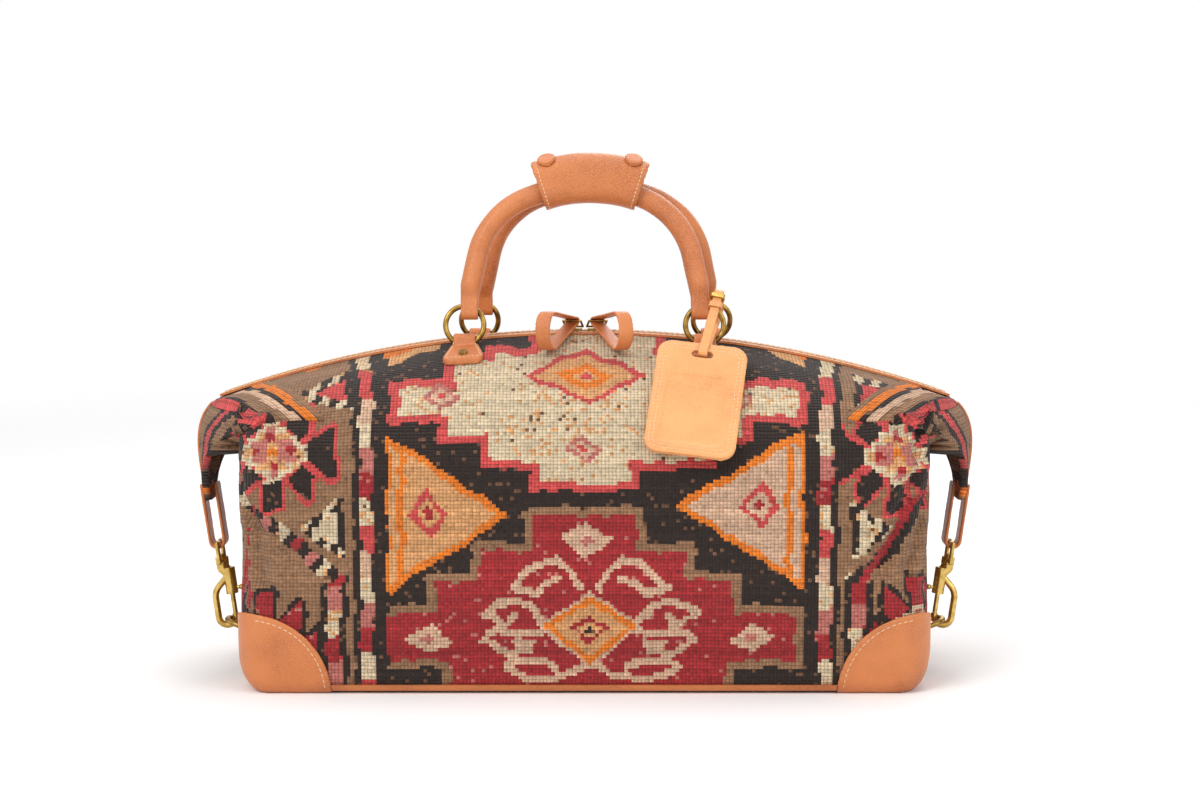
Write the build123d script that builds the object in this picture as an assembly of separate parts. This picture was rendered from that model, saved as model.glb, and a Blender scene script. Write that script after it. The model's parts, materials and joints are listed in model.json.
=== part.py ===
from build123d import *
from math import asin, atan2, cos, degrees, hypot, radians, sin, sqrt
import os

# Weekend duffle bag of woven rug cloth with leather trim, brass rings and snap hooks.
# Millimetres. X runs along the zip, the front faces -Y, Z is up from the middle of the base.

# Gaps and cuts
ease = 0.3
overrun = 80.0
far = 1600.0

# Rug cloth body
body_length = 494.0
body_depth = 228.0
base_depth = 212.0
end_depth = 214.0
ridge_height = 251.0
fold_span = 540.0
fold_height = 205.0
base_edge_radius = 14.0
end_radius = 26.0
end_steps = 4
cloth = 6.0
wall_height_share = 0.42
mid_shoulder_shares = ((0.935, 0.735), (0.66, 0.898))
end_shoulder_shares = ((0.912, 0.912), (0.72, 1.0))
mid_roof_slope = 0.33
end_roof_slope = 0.08
wall_lean = 0.12

# Folded-down end flaps: height, roll and width shares from the shoulder to the point
flap_reach = 287.0
flap_top = 200.0
flap_tip = 126.0
flap_width = 198.0
flap_tip_width = 26.0
flap_roll = 10.0
flap_bow_radius = 121.0
flap_cloth = 7.0
flap_dip = 1.2
flap_shares = ((1.0, 1.0, 1.0), (0.82, 0.2, 0.84), (0.5, 0.0, 0.42), (0.0, 0.35, 0.0))

# Base, board, lining and piping
base_leather = 4.0
board = 3.0
lining = 1.0
piping = 1.8
piping_low = 2.0
piping_high = 6.5

# Corner patches
patch_leather = 2.0
patch_radius = 58.0
patch_inset = 9.0

# Zip
slot_width = 16.0
tape = 0.9
tooth_width = 1.9
tooth_gap = 1.4
tooth_height = 3.4
binding_gap = 11.6
binding_width = 13.0
binding = 1.6
tail_width = 18.0
tail_length_share = 0.8

# Zip sliders and pulls
slider_place = 8.0
slider_length = 12.0
slider_width = 10.4
slider_plate = 1.8
slider_post = 0.9
crown_wire = 1.8
crown_radius = 3.7
bail_wire = 1.6
bail_length = 7.0
bail_rise = 40.0
pull_heading = 72.0
pull_leather = 1.8
pull_width = 11.0
pull_length = 58.0
pull_end_radius = 14.0
pull_end_rise = 5.5

# Handle rings and chapes
ring_spacing = 176.0
ring_setback = 34.0
ring_pivot_height = 245.2
ring_radius = 14.0
ring_wire = 4.0
back_shift = 8.0
chape_leather = 2.2
chape_play = 0.6
chape_neck = 16.0
chape_pad_top = 20.0
chape_pad_foot = 32.0
chape_pad_start = 3.2
chape_pad_length = 24.0
chape_corner = 5.0
rivet_radius = 3.2
rivet_head = 1.4
rivet_share = 0.72

# Handles
handle_diameter = 15.6
handle_height = 360.0
handle_top_setback = 10.0
handle_top_radius = 113.0
handle_top_angle = 22.0
handle_side_radius = 61.0
handle_side_angle = 56.0
handle_leg = 23.0
handle_loop_offset = 3.5
handle_loop_width = 13.0
handle_loop_leather = 2.2
handle_loop_play = 0.5
handle_loop_rise = 6.0

# Wrap round the handles
wrap_leather = 2.5
wrap_inner_depth = 45.2
wrap_inner_height = 32.0
wrap_corner = 10.0
wrap_rise = 6.5
wrap_length = 77.0
snap_spread = 56.0
snap_lean = 30.0
snap_radius = 7.0
snap_cap = 2.4
snap_stud_radius = 4.5
snap_stud = 1.2
snap_post_radius = 1.5

# End tabs on the flap points, and the snap hooks that hang from them
end_lean = 8.0
tab_leather = 2.4
tab_width = 19.0
tab_top = 13.0
tab_drop = 37.0
eye_wire = 3.4
eye_drop = 14.0
hub_radius = 5.0
hub_height = 5.0
swivel_radius = 2.1
swivel_fit = 0.08
swivel_head_radius = 3.5
swivel_head = 2.0
collar_radius = 4.8
collar = 3.2
barrel_radius = 4.6
barrel_length = 20.0
bolt_offset = 4.0
bolt_radius = 1.8
bolt_fit = 0.08
bolt_travel = 7.0
bolt_hidden = 8.0
knob_radius = 1.3
knob_ball = 2.1
knob_reach = 7.5
hook_wire = 5.0
hook_bend_radius = 6.5
hook_reach = 17.0
hook_shoulder = 12.0
hook_tip = 2.0
spring_wire = 0.6
spring_turns = 4

# End rings low on the end walls, and their tabs
end_ring_wire = 4.0
end_ring_width = 27.0
end_ring_bar_height = 30.0
ring_tab_width = 20.0
ring_tab_leather = 2.2
ring_tab_foot = 11.0
ring_tab_play = 0.5

# Luggage tag
tag_width = 65.0
tag_length = 95.0
tag_leaf = 1.9
tag_corner = 11.0
tag_place = (79.5, -92.0, 208.0)
tag_tilt = 38.3
tag_roll = 8.0
tag_stand = 1.2
tag_slot_width = 15.0
tag_slot_height = 5.2
tag_slot_drop = 9.5
tag_panel_width = 45.0
tag_panel_length = 58.0
tag_panel_depth = 0.6
tag_panel_corner = 6.0
strap_leather = 2.0
strap_width = 7.0
strap_lean = 14.0
strap_top = (-38.5, 287.0)
strap_back = (-12.0, 269.0)
strap_bend = 4.0
strap_fold = 2.2
keeper_share = 0.7
buckle_share = 0.85
keeper_leather = 1.2
keeper_length = 5.0
buckle_frame = 1.5
buckle_length = 3.0

# Worked out from the sizes above
half_body = body_length / 2
half_fold = fold_span / 2
fold_drop = ridge_height - fold_height
zip_radius = (half_fold**2 + fold_drop**2) / (2 * fold_drop)
zip_centre = ridge_height - zip_radius
fold_angle = degrees(asin(half_fold / zip_radius))
zip_axis = Axis((0, 0, zip_centre), (0, 1, 0))
handle_rise = handle_height - ring_pivot_height
handle_run = ring_setback - handle_top_setback
handle_lean = degrees(atan2(handle_run, handle_rise))
handle_length = hypot(handle_run, handle_rise)


def mix(a, b, t):
    """Value between a and b at the share t."""
    return a + (b - a) * t


def front_side(shape):
    """The front half of a shape."""
    return shape & Pos(0, -far / 2, 0) * Box(far, far, far)


def slab(low, high):
    """Everything between two heights."""
    return Pos(0, 0, (low + high) / 2) * Box(far, far, high - low)


def ridge_z(x):
    """Height of the zip line at x."""
    return zip_centre + sqrt(zip_radius**2 - x**2)


def section_plane(x):
    """Upright plane across the bag at x."""
    return Plane(origin=(x, 0, 0), x_dir=(0, 1, 0), z_dir=(1, 0, 0))


def wall_line(x, inset, grow, foot, side):
    """Edge from the flat of the base up to the zip on one side, and its two end points."""
    t = (x / half_body) ** 2
    top = ridge_z(x) + grow
    foot = foot + inset
    half_base = base_depth / 2 + grow - inset
    half_wall = mix(body_depth, end_depth, t) / 2 + grow - inset
    wall_z = wall_height_share * ridge_height
    seat = binding_gap / 2 + binding_width
    (mid_low, mid_high), (end_low, end_high) = mid_shoulder_shares, end_shoulder_shares
    low_y = mix(mid_low[0], end_low[0], t) * body_depth / 2 + grow - inset
    low_z = mix(mid_low[1] * ridge_height, end_low[1] * fold_height, t) + grow / 2
    high_y = mix(mid_high[0], end_high[0], t) * body_depth / 2 + grow / 2 - inset
    high_z = mix(mid_high[1] * ridge_height, end_high[1] * fold_height, t) + grow
    slope = mix(mid_roof_slope, end_roof_slope, t)
    chord = base_edge_radius * (1 - sqrt(0.5))
    flat = half_base - base_edge_radius
    arc = ThreePointArc(
        (side * flat, foot),
        (side * (half_base - chord), foot + chord),
        (side * half_base, foot + base_edge_radius),
    )
    wall = Spline(
        (side * half_base, foot + base_edge_radius),
        (side * half_wall, wall_z),
        (side * low_y, low_z),
        (side * high_y, high_z),
        (side * seat, top),
        tangents=[(side * wall_lean, 1), (-side, slope)],
    )
    return [arc, wall], (side * flat, foot), (side * seat, top)


def body_section(x, inset, grow, foot):
    """Cross-section of the bag at x, drawn in by inset at the ends and grown by grow."""
    right, right_foot, right_top = wall_line(x, inset, grow, foot, 1)
    left, left_foot, left_top = wall_line(x, inset, grow, foot, -1)
    edges = [*right, *left, Line(left_foot, right_foot), Line(right_top, left_top)]
    return section_plane(x) * make_face(edges)


def front_section(x, inset, grow):
    """Front half of the cross-section, with a notch along its upper inner edge for the zip."""
    wall, foot, top = wall_line(x, inset, grow, -grow, -1)
    notch, notch_foot = -slot_width / 2, top[1] - 2 * cloth
    outline = Polyline(top, (notch, top[1]), (notch, notch_foot), (0, notch_foot), (0, foot[1]), foot)
    return section_plane(x) * make_face([*wall, *outline.edges()])


def sheet_section(x, outer_grow, inner_grow, edge):
    """Front cross-section of a sheet between two skins, from the base up to the given zip edge."""
    outer, outer_foot, outer_top = wall_line(x, 0, outer_grow, -outer_grow, -1)
    inner, inner_foot, inner_top = wall_line(x, 0, inner_grow, -inner_grow, -1)
    top = Polyline(outer_top, (-edge, outer_top[1]), (-edge, inner_top[1]), inner_top)
    return section_plane(x) * make_face([*outer, *inner, *top.edges(), Line(outer_foot, inner_foot)])


def end_turns():
    """Angles of the sections that round off the ends."""
    return [radians(90 * step / end_steps) for step in range(end_steps + 1)]


def body_form(grow=0.0):
    """The closed outer form of the bag, grown by grow."""
    run = half_body + grow - end_radius
    form = loft([body_section(x, 0, grow, -grow) for x in (-run, 0, run)])
    end = loft(
        [
            body_section(run + end_radius * sin(a), end_radius * (1 - cos(a)), grow, -grow)
            for a in end_turns()
        ]
    )
    return form + end + mirror(end, about=Plane.YZ)


def flap_section(height, reach, half, thick):
    """Curved strip of the end flap at one height."""
    bow = flap_bow_radius - sqrt(flap_bow_radius**2 - half**2)
    outer = ThreePointArc((reach - bow, -half), (reach, 0), (reach - bow, half))
    inner = outer.moved(Location((-thick, 0, 0)))
    edges = [outer, inner, Line(outer @ 0, inner @ 0), Line(outer @ 1, inner @ 1)]
    return Pos(0, 0, height) * make_face(edges)


def flap_station(shares):
    """Height, reach and half width of the flap at one row of shares."""
    height_share, roll_share, width_share = shares
    height = mix(flap_tip, flap_top, height_share)
    return height, flap_reach - roll_share * flap_roll, mix(flap_tip_width, flap_width, width_share) / 2


def flap():
    """Front half of the right end flap: roof over the end wall, and the triangle hanging from its fold."""
    stations = [flap_station(shares) for shares in flap_shares]
    hanging = loft([flap_section(h, reach, half, flap_cloth) for h, reach, half in stations])
    _, reach, half = stations[0]
    run = half_body - end_radius
    roof = loft(
        [front_section(x, 0, -flap_dip) for x in (run, (run + flap_reach) / 2, flap_reach)]
    )
    plan = flap_section(0, reach, half, reach - run - end_radius / 2)
    roof = roof & slab(flap_top - flap_cloth, ridge_height) & extrude(plan, ridge_height)
    return front_side(hanging) + roof


def zip_band(near, far, low, high, start, end):
    """Strip that follows the zip line between two y values, two radii and two angles."""
    across, up = (near + far) / 2, zip_centre + (low + high) / 2
    face = Plane.YZ * Pos(across, up) * Rectangle(far - near, high - low)
    return revolve(face.rotate(zip_axis, start), zip_axis, end - start)


def rod(start, end, radius):
    """Round bar between two points with ball ends."""
    run = Vector(*end) - Vector(*start)
    bar = extrude(Plane(start, z_dir=run) * Circle(radius), run.length)
    return bar + Pos(*start) * Sphere(radius) + Pos(*end) * Sphere(radius)


def pair(shape):
    """Shape put on both ends, as a left and right pair."""
    return {"left": mirror(shape, about=Plane.YZ), "right": shape}


outer_form = body_form()
near_form = body_form(ease)
right_flap = flap()


def rug_panels():
    """Front and back panels, each with its half of both flaps, open along the zip."""
    run = half_body - end_radius
    end = loft(
        [front_section(run + end_radius * sin(a), end_radius * (1 - cos(a)), 0) for a in end_turns()]
    )
    pocket_width = end_depth / 2 - end_radius
    pocket_foot, pocket_top = end_radius, flap_top - end_radius
    pocket = Pos(run, -pocket_width / 2, (pocket_foot + pocket_top) / 2) * Box(
        2 * (end_radius - cloth), pocket_width + cloth, pocket_top - pocket_foot
    )
    end = end - pocket + right_flap
    panel = loft([sheet_section(x, 0, -cloth, slot_width / 2) for x in (-run, 0, run)])
    panel = panel + end + mirror(end, about=Plane.YZ)
    panel = panel & slab(base_leather, far)
    return {"rug_front_panel": panel, "rug_back_panel": mirror(panel, about=Plane.XZ)}


def inner_pieces():
    """Base panel, stiffener board, and the lining sewn in along both sides of the zip."""
    run = half_body - end_radius - ease
    board_low = base_leather + ease
    board_high = board_low + board
    board_depth = base_depth - 2 * (cloth + base_edge_radius + ease)
    board_plan = RectangleRounded(2 * run, board_depth, base_edge_radius)
    skins = (-cloth - ease, -cloth - ease - lining)
    sheet = loft([sheet_section(x, *skins, slot_width / 2 + lining) for x in (-run, 0, run)])
    sheet = sheet & slab(board_high + ease, far)
    return {
        "base_panel": body_form(ease / 2) & slab(0, base_leather),
        "base_board": Pos(0, 0, board_low) * extrude(board_plan, board),
        "lining_front": sheet,
        "lining_back": mirror(sheet, about=Plane.XZ),
    }


def patch_balls(radius):
    """Four balls centred on the base corners, which give the patches their round edges."""
    x = half_body - patch_inset
    y = base_depth / 2 - patch_inset / 2
    places = {"front_left": (-x, -y), "front_right": (x, -y), "back_left": (-x, y), "back_right": (x, y)}
    return {name: Pos(px, py, 0) * Sphere(radius) for name, (px, py) in places.items()}


def base_trim():
    """Corner patches over the cloth, and the piping that runs between them."""
    skin = (body_form(ease + patch_leather) - near_form) & slab(ease, patch_radius)
    nodes = {f"corner_patch_{name}": skin & ball for name, ball in patch_balls(patch_radius).items()}
    line = (body_form(ease + piping) - near_form) & slab(piping_low, piping_high)
    for ball in patch_balls(patch_radius + ease).values():
        line = line - ball
    nodes["base_piping"] = line
    return nodes


def zip_pieces():
    """Tapes, tooth rows and leather bindings along the zip line, and the tails down the flaps."""
    nodes = {}
    tooth_inner = tooth_gap / 2
    tape_inner = tooth_inner + tooth_width + ease
    rows = {
        "zip_teeth": (tooth_inner, tooth_inner + tooth_width, -tooth_height / 2, tooth_height / 2),
        "zip_tape": (tape_inner, slot_width / 2 - ease, -tape, 0),
        "zip_binding": (binding_gap / 2, binding_gap / 2 + binding_width - ease, ease, ease + binding),
    }
    for name, (near, far, low, high) in rows.items():
        band = zip_band(near, far, zip_radius + low, zip_radius + high, -fold_angle, fold_angle)
        nodes[f"{name}_back"] = band
        nodes[f"{name}_front"] = mirror(band, about=Plane.XZ)
    stations = [flap_station(shares) for shares in flap_shares]
    tail = loft(
        [flap_section(h, reach + 2 * ease + binding, tail_width / 2, binding) for h, reach, _ in stations]
    )
    tail = tail & slab(mix(flap_top, flap_tip, tail_length_share), flap_top)
    for side, shape in pair(tail).items():
        nodes[f"zip_tail_{side}"] = shape
    return nodes


def slider_and_pull():
    """Right zip slider, its wire bail and its leather loop pull, turned from the middle of the zip."""
    span = degrees(slider_length / zip_radius) / 2
    half = slider_width / 2
    top = zip_radius + tooth_height / 2 + ease
    low = zip_radius - tooth_height / 2 - ease
    slider = zip_band(-half, half, top, top + slider_plate, -span, span)
    slider += zip_band(-half, half, low - slider_plate, low, -span, span)
    slider += zip_band(-slider_post / 2, slider_post / 2, low - ease, top + ease, -span, span)
    plate_z = zip_centre + top + slider_plate
    crown = Pos(0, 0, plate_z) * Rot(0, 90, 0) * Torus(crown_radius, crown_wire / 2)
    slider += crown & slab(plate_z - crown_wire, plate_z + overrun)

    eye_z = plate_z + (crown_radius - crown_wire / 2) / 2
    rise = radians(bail_rise)
    bar = (bail_length * cos(rise), bail_length * sin(rise))
    bar_half = pull_width / 2 + 2 * ease + bail_wire / 2
    corners = [
        (0, -bar_half, 0), (0, bar_half, 0), (bar[0], bar_half, bar[1]), (bar[0], -bar_half, bar[1])
    ]
    bail = Part()
    for start, end in zip(corners, corners[1:] + corners[:1]):
        bail += rod(start, end, bail_wire / 2)
    near_radius = bail_wire / 2 + ease + pull_leather
    far_centre = (pull_length, ridge_height + pull_end_rise - eye_z)

    def teardrop(shrink):
        circles = Pos(*bar) * Circle(near_radius - shrink)
        circles += Pos(*far_centre) * Circle(pull_end_radius - shrink)
        return make_hull(circles.edges())

    loop = extrude(Plane.XZ * (teardrop(0) - teardrop(pull_leather)), pull_width / 2, both=True)
    place = Pos(0, 0, eye_z) * Rot(0, 0, -pull_heading)
    turn = degrees(slider_place / zip_radius)
    return [shape.rotate(zip_axis, turn) for shape in (slider, place * bail, place * loop)]


def zip_runners():
    """Both sliders with their pulls."""
    nodes = {}
    for name, shape in zip(("zip_slider", "pull_bail", "pull_loop"), slider_and_pull()):
        for side, copy in pair(shape).items():
            nodes[f"{name}_{side}"] = copy
    return nodes


def handle_frame(x=0.0):
    """Frame of the front handle: origin on the ring pivot, leaning towards the zip."""
    return Location((x, -ring_setback, ring_pivot_height), (-handle_lean, 0, 0))


def long_slot(foot, head, radius):
    """Upright slot outline between two heights, with round ends of the given radius."""
    return Pos(0, (foot + head) / 2) * Rot(0, 0, 90) * SlotCenterToCenter(head - foot, 2 * radius)


def ring_dip(offset, half_width):
    """How far the ring's wire bends away over a loop of the given width, set off its middle."""
    reach = abs(offset) + half_width
    inner = ring_radius - ring_wire / 2
    return inner - sqrt(inner**2 - reach**2)


def chape(x):
    """Leather strap folded round the foot of a ring and sewn down on the slope in front of it."""
    play = ring_wire / 2 + chape_play
    rise = ring_dip(0, chape_neck / 2)
    place = handle_frame(x)
    bore = place * extrude(Plane.YZ * long_slot(0, rise, play), chape_pad_foot, both=True)
    fold = Plane.YZ * long_slot(0, rise, play + chape_leather)
    loop = place * extrude(fold, chape_neck / 2, both=True)
    start = -ring_setback - chape_pad_start
    foot = start - chape_pad_length
    half_top, half_foot = chape_pad_top / 2, chape_pad_foot / 2
    outline = Polyline(
        (-half_top, start), (half_top, start), (half_foot, foot), (-half_foot, foot), close=True
    )
    plan = make_face(outline)
    plan = fillet(plan.vertices().sort_by(Axis.Y)[:2], chape_corner)
    pad = Pos(x, 0, 0) * extrude(plan, ridge_height + overrun) & slab(fold_height, ridge_height + overrun)
    return (loop + (pad & chape_skin)) - bore - near_form


def chape_rivet(x):
    """Domed rivet head on a chape's pad."""
    y = -ring_setback - chape_pad_start - rivet_share * chape_pad_length
    return Pos(x, y, 0) * extrude(Circle(rivet_radius), ridge_height + overrun) & rivet_skin


chape_skin = body_form(ease + 2 * chape_leather) - near_form
rivet_skin = body_form(2 * ease + 2 * chape_leather + rivet_head) - body_form(2 * ease + 2 * chape_leather)
rivet_skin = rivet_skin & slab(fold_height, ridge_height + overrun)


def to_back(shape):
    """Front piece turned over to the back."""
    return mirror(shape, about=Plane.XZ)


def handle_ring(x):
    """Round wire ring between a chape and the end of a handle."""
    ring = Rot(90, 0, 0) * Torus(ring_radius, ring_wire / 2)
    return handle_frame(x) * Pos(0, 0, ring_radius) * ring


def handle():
    """Front handle: rolled arch, flattened ends, and the loops that hold the rings."""
    top = JernArc((0, handle_length), (1, 0), handle_top_radius, -handle_top_angle)
    side = JernArc(top @ 1, top % 1, handle_side_radius, -handle_side_angle)
    leg = Line(side @ 1, side @ 1 + handle_leg * (side % 1))
    path = Plane.XZ * (top + side + leg)
    roll = sweep(Plane.YZ * Pos(0, handle_length) * Circle(handle_diameter / 2), path)

    play = ring_wire / 2 + handle_loop_play
    loop_x = ring_spacing / 2 - handle_loop_offset
    dip = ring_dip(handle_loop_offset, handle_loop_width / 2)
    crest = 2 * ring_radius
    head = crest + handle_loop_rise
    thick = 2 * (play + handle_loop_leather)
    block = Pos(0, (crest - dip + head) / 2) * Rectangle(thick, head - crest + dip)
    block += Pos(0, crest - dip) * Circle(thick / 2)
    block -= long_slot(crest - dip, crest, play)
    loop = Pos(loop_x, 0, 0) * extrude(Plane.YZ * block, handle_loop_width / 2, both=True)
    leg_end = Plane(path @ 1, z_dir=path % 1) * Circle(handle_diameter / 2)
    flat = Pos(loop_x, 0, head) * RectangleRounded(handle_loop_width, thick, thick / 3)
    flare = loft([leg_end, flat])
    half = roll + flare + loop
    return handle_frame() * (half + mirror(half, about=Plane.YZ))


def handle_pieces():
    """Handles, rings, chapes and rivets at the front and the back."""
    front = handle()
    nodes = {"front_handle": front, "back_handle": Pos(back_shift, 0, 0) * to_back(front)}
    rivets = []
    for side, x in (("left", -ring_spacing / 2), ("right", ring_spacing / 2)):
        back_x = x + back_shift
        nodes[f"handle_ring_front_{side}"] = handle_ring(x)
        nodes[f"handle_ring_back_{side}"] = to_back(handle_ring(back_x))
        nodes[f"handle_chape_front_{side}"] = chape(x)
        nodes[f"handle_chape_back_{side}"] = to_back(chape(back_x))
        rivets += [chape_rivet(x), to_back(chape_rivet(back_x))]
    nodes["chape_rivets"] = rivets
    return nodes


def wrap_pieces():
    """Leather wrap round both handles, with its covered snap caps and their studs."""
    centre = ring_pivot_height + (handle_length - handle_top_radius) * cos(radians(handle_lean))
    radius = handle_height + wrap_rise - centre
    half_angle = degrees(asin(wrap_length / 2 / radius))
    axis = Axis((back_shift / 2, 0, centre), (0, 1, 0))

    def tube(grow, angle):
        outline = RectangleRounded(
            wrap_inner_depth + 2 * grow, wrap_inner_height + 2 * grow, wrap_corner + grow
        )
        face = Pos(back_shift / 2, 0, centre + radius) * (Plane.YZ * outline)
        return revolve(face.rotate(axis, -angle), axis, 2 * angle)

    wrap = tube(wrap_leather, half_angle) - tube(0, half_angle)
    caps, studs = [], []
    corner_y = -wrap_inner_depth / 2 + wrap_corner
    corner_z = centre + radius + wrap_inner_height / 2 - wrap_corner
    for side in (-1, 1):
        turn = side * degrees(asin(snap_spread / 2 / radius))
        seat = Location((back_shift / 2, corner_y, corner_z), (snap_lean, 0, 0))
        seat_in, seat_out = wrap_corner, wrap_corner + wrap_leather
        cap = Pos(0, 0, seat_out) * Cylinder(snap_radius, 2 * snap_cap)
        cap = fillet(cap.edges().group_by(Axis.Z)[-1], snap_cap / 2)
        stud_top = seat_in - 4 * ease
        stud = Pos(0, 0, stud_top - snap_stud / 2) * Cylinder(snap_stud_radius, snap_stud)
        post = Pos(0, 0, (stud_top + seat_out) / 2) * Cylinder(snap_post_radius, seat_out - stud_top)
        hole = Pos(0, 0, seat_in) * Cylinder(snap_post_radius + ease, 4 * wrap_leather)
        place = [(seat * shape).rotate(axis, turn) for shape in (cap, stud + post, hole)]
        caps.append(place[0] - tube(wrap_leather + ease, half_angle) - place[1])
        studs.append(place[1])
        wrap = wrap - place[2]
    return {"grip_wrap": wrap, "snap_caps": caps, "snap_studs": studs}


tip_reach = flap_station(flap_shares[-1])[1]
end_frame = Location((tip_reach - flap_cloth / 2, 0, flap_tip), (0, end_lean, 0))
tab_gap = flap_cloth / 2 + 2 * ease
eye_place = -tab_drop + tab_leather + ease + eye_wire / 2
eye_frame = end_frame * Pos(0, 0, eye_place)
hub_top = -eye_drop + hub_height / 2
hub_foot = -eye_drop - hub_height / 2
barrel_top = hub_foot - ease - collar
barrel_foot = barrel_top - barrel_length
bend_level = barrel_foot - hook_reach
bend_x = hook_bend_radius - bolt_offset
ring_x = bend_x
ring_level = bend_level - hook_bend_radius + hook_wire / 2 + ease + end_ring_wire / 2


def end_tab():
    """Leather strap folded under the flap's point, with a loop for the snap hook's eye."""
    outer = tab_gap + tab_leather
    foot = -tab_drop + outer
    profile = Pos(0, (tab_top + foot) / 2) * Rectangle(2 * outer, tab_top - foot)
    profile += Pos(0, foot) * Circle(outer)
    hollow = Pos(0, (tab_top + foot) / 2) * Rectangle(2 * tab_gap, tab_top - foot)
    hollow += Pos(0, foot) * Circle(tab_gap)
    strap = end_frame * extrude(Plane.XZ * (profile - hollow), tab_width / 2, both=True)
    stations = [flap_station(shares) for shares in flap_shares]
    room = [flap_section(h, reach + ease, half, flap_cloth + 2 * ease) for h, reach, half in stations]
    return strap - loft(room)


def clip_eye():
    """Wire bail of the snap hook, with the hub that the hook turns in."""
    half = tab_width / 2 + ease + eye_wire / 2
    wire = eye_wire / 2
    corners = [(0, -half, 0), (0, half, 0), (0, half, -eye_drop), (0, -half, -eye_drop)]
    eye = Pos(0, 0, -eye_drop) * Cylinder(hub_radius, hub_height)
    for start, end in zip(corners, corners[1:] + corners[:1]):
        eye += rod(start, end, wire)
    hub = Pos(0, 0, -eye_drop) * Cylinder(swivel_head_radius + ease, overrun)
    eye -= hub & slab(hub_top, overrun)
    return eye - Pos(0, 0, -eye_drop) * Cylinder(swivel_radius + swivel_fit, 2 * hub_height)


def clip_hook():
    """Hook body: swivel pin with head and collar, barrel for the bolt, and the bent hook."""
    pin_top = hub_top + ease + swivel_head
    hook = Pos(0, 0, (pin_top + barrel_top) / 2) * Cylinder(swivel_radius, pin_top - barrel_top)
    hook += Pos(0, 0, pin_top - swivel_head / 2) * Cylinder(swivel_head_radius, swivel_head)
    hook += Pos(0, 0, barrel_top + collar / 2) * Cylinder(collar_radius, collar)
    barrel = Pos(-bolt_offset, 0, (barrel_top + barrel_foot) / 2)
    hook += barrel * Cylinder(barrel_radius, barrel_length)
    neck = rod((0, 0, barrel_top), (-bolt_offset, 0, barrel_top - barrel_radius), barrel_radius)
    hook += neck & slab(barrel_foot, barrel_top + collar)
    back_x = bend_x + hook_bend_radius
    path = FilletPolyline(
        (-bolt_offset, 0, barrel_top - hook_wire),
        (back_x, 0, barrel_top - hook_wire - hook_shoulder),
        (back_x, 0, bend_level),
        radius=hook_shoulder,
    )
    start = Plane(path @ 0, z_dir=path % 0) * Circle(hook_wire / 2)
    hook += sweep(start, path)
    bend_axis = Axis((bend_x, 0, bend_level), (0, 1, 0))
    hook += revolve(Pos(back_x, 0, bend_level) * Circle(hook_wire / 2), bend_axis, 180)
    tip = Pos(-bolt_offset, 0, bend_level + hook_tip / 2) * Cylinder(hook_wire / 2, hook_tip)
    hook += tip
    bore_top = barrel_top - barrel_radius
    bore = Pos(-bolt_offset, 0, (bore_top + barrel_foot - overrun) / 2)
    bore_length = bore_top - barrel_foot + overrun
    bore_cut = bore * Cylinder(bolt_radius + bolt_fit, bore_length) & slab(bend_level + hook_tip, overrun)
    slot_low = knob_level() - knob_radius - ease
    slot_high = knob_level() + bolt_travel + knob_radius + ease
    slot = Pos(-bolt_offset - barrel_radius, 0, (slot_low + slot_high) / 2)
    slot_cut = slot * Box(2 * barrel_radius, 2 * (knob_radius + ease), slot_high - slot_low)
    return hook - bore_cut - slot_cut


def knob_level():
    """Height of the bolt's thumb knob below the eye, with the bolt shut."""
    return barrel_foot + knob_radius + 2 * ease + hook_tip


def bolt_top():
    """Height of the bolt's upper end, with the bolt shut."""
    return barrel_foot + bolt_hidden


def clip_bolt():
    """Sliding bolt that shuts the hook, with its thumb knob."""
    foot = bend_level + hook_tip + ease
    top = bolt_top()
    bolt = Pos(-bolt_offset, 0, (foot + top) / 2) * Cylinder(bolt_radius, top - foot)
    knob_end = (-bolt_offset - knob_reach, 0, knob_level())
    bolt += rod((-bolt_offset, 0, knob_level()), knob_end, knob_radius)
    return bolt + Pos(*knob_end) * Sphere(knob_ball)


def clip_spring():
    """Coil spring between the bolt and the end of its bore."""
    low = bolt_top() + ease + spring_wire / 2
    high = barrel_top - barrel_radius - ease - spring_wire / 2
    radius = bolt_radius - spring_wire / 2
    coil = Helix((high - low) / spring_turns, high - low, radius)
    wire = sweep(Plane(coil @ 0, z_dir=coil % 0) * Circle(spring_wire / 2), coil, is_frenet=True)
    return Pos(-bolt_offset, 0, low) * wire


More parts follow.
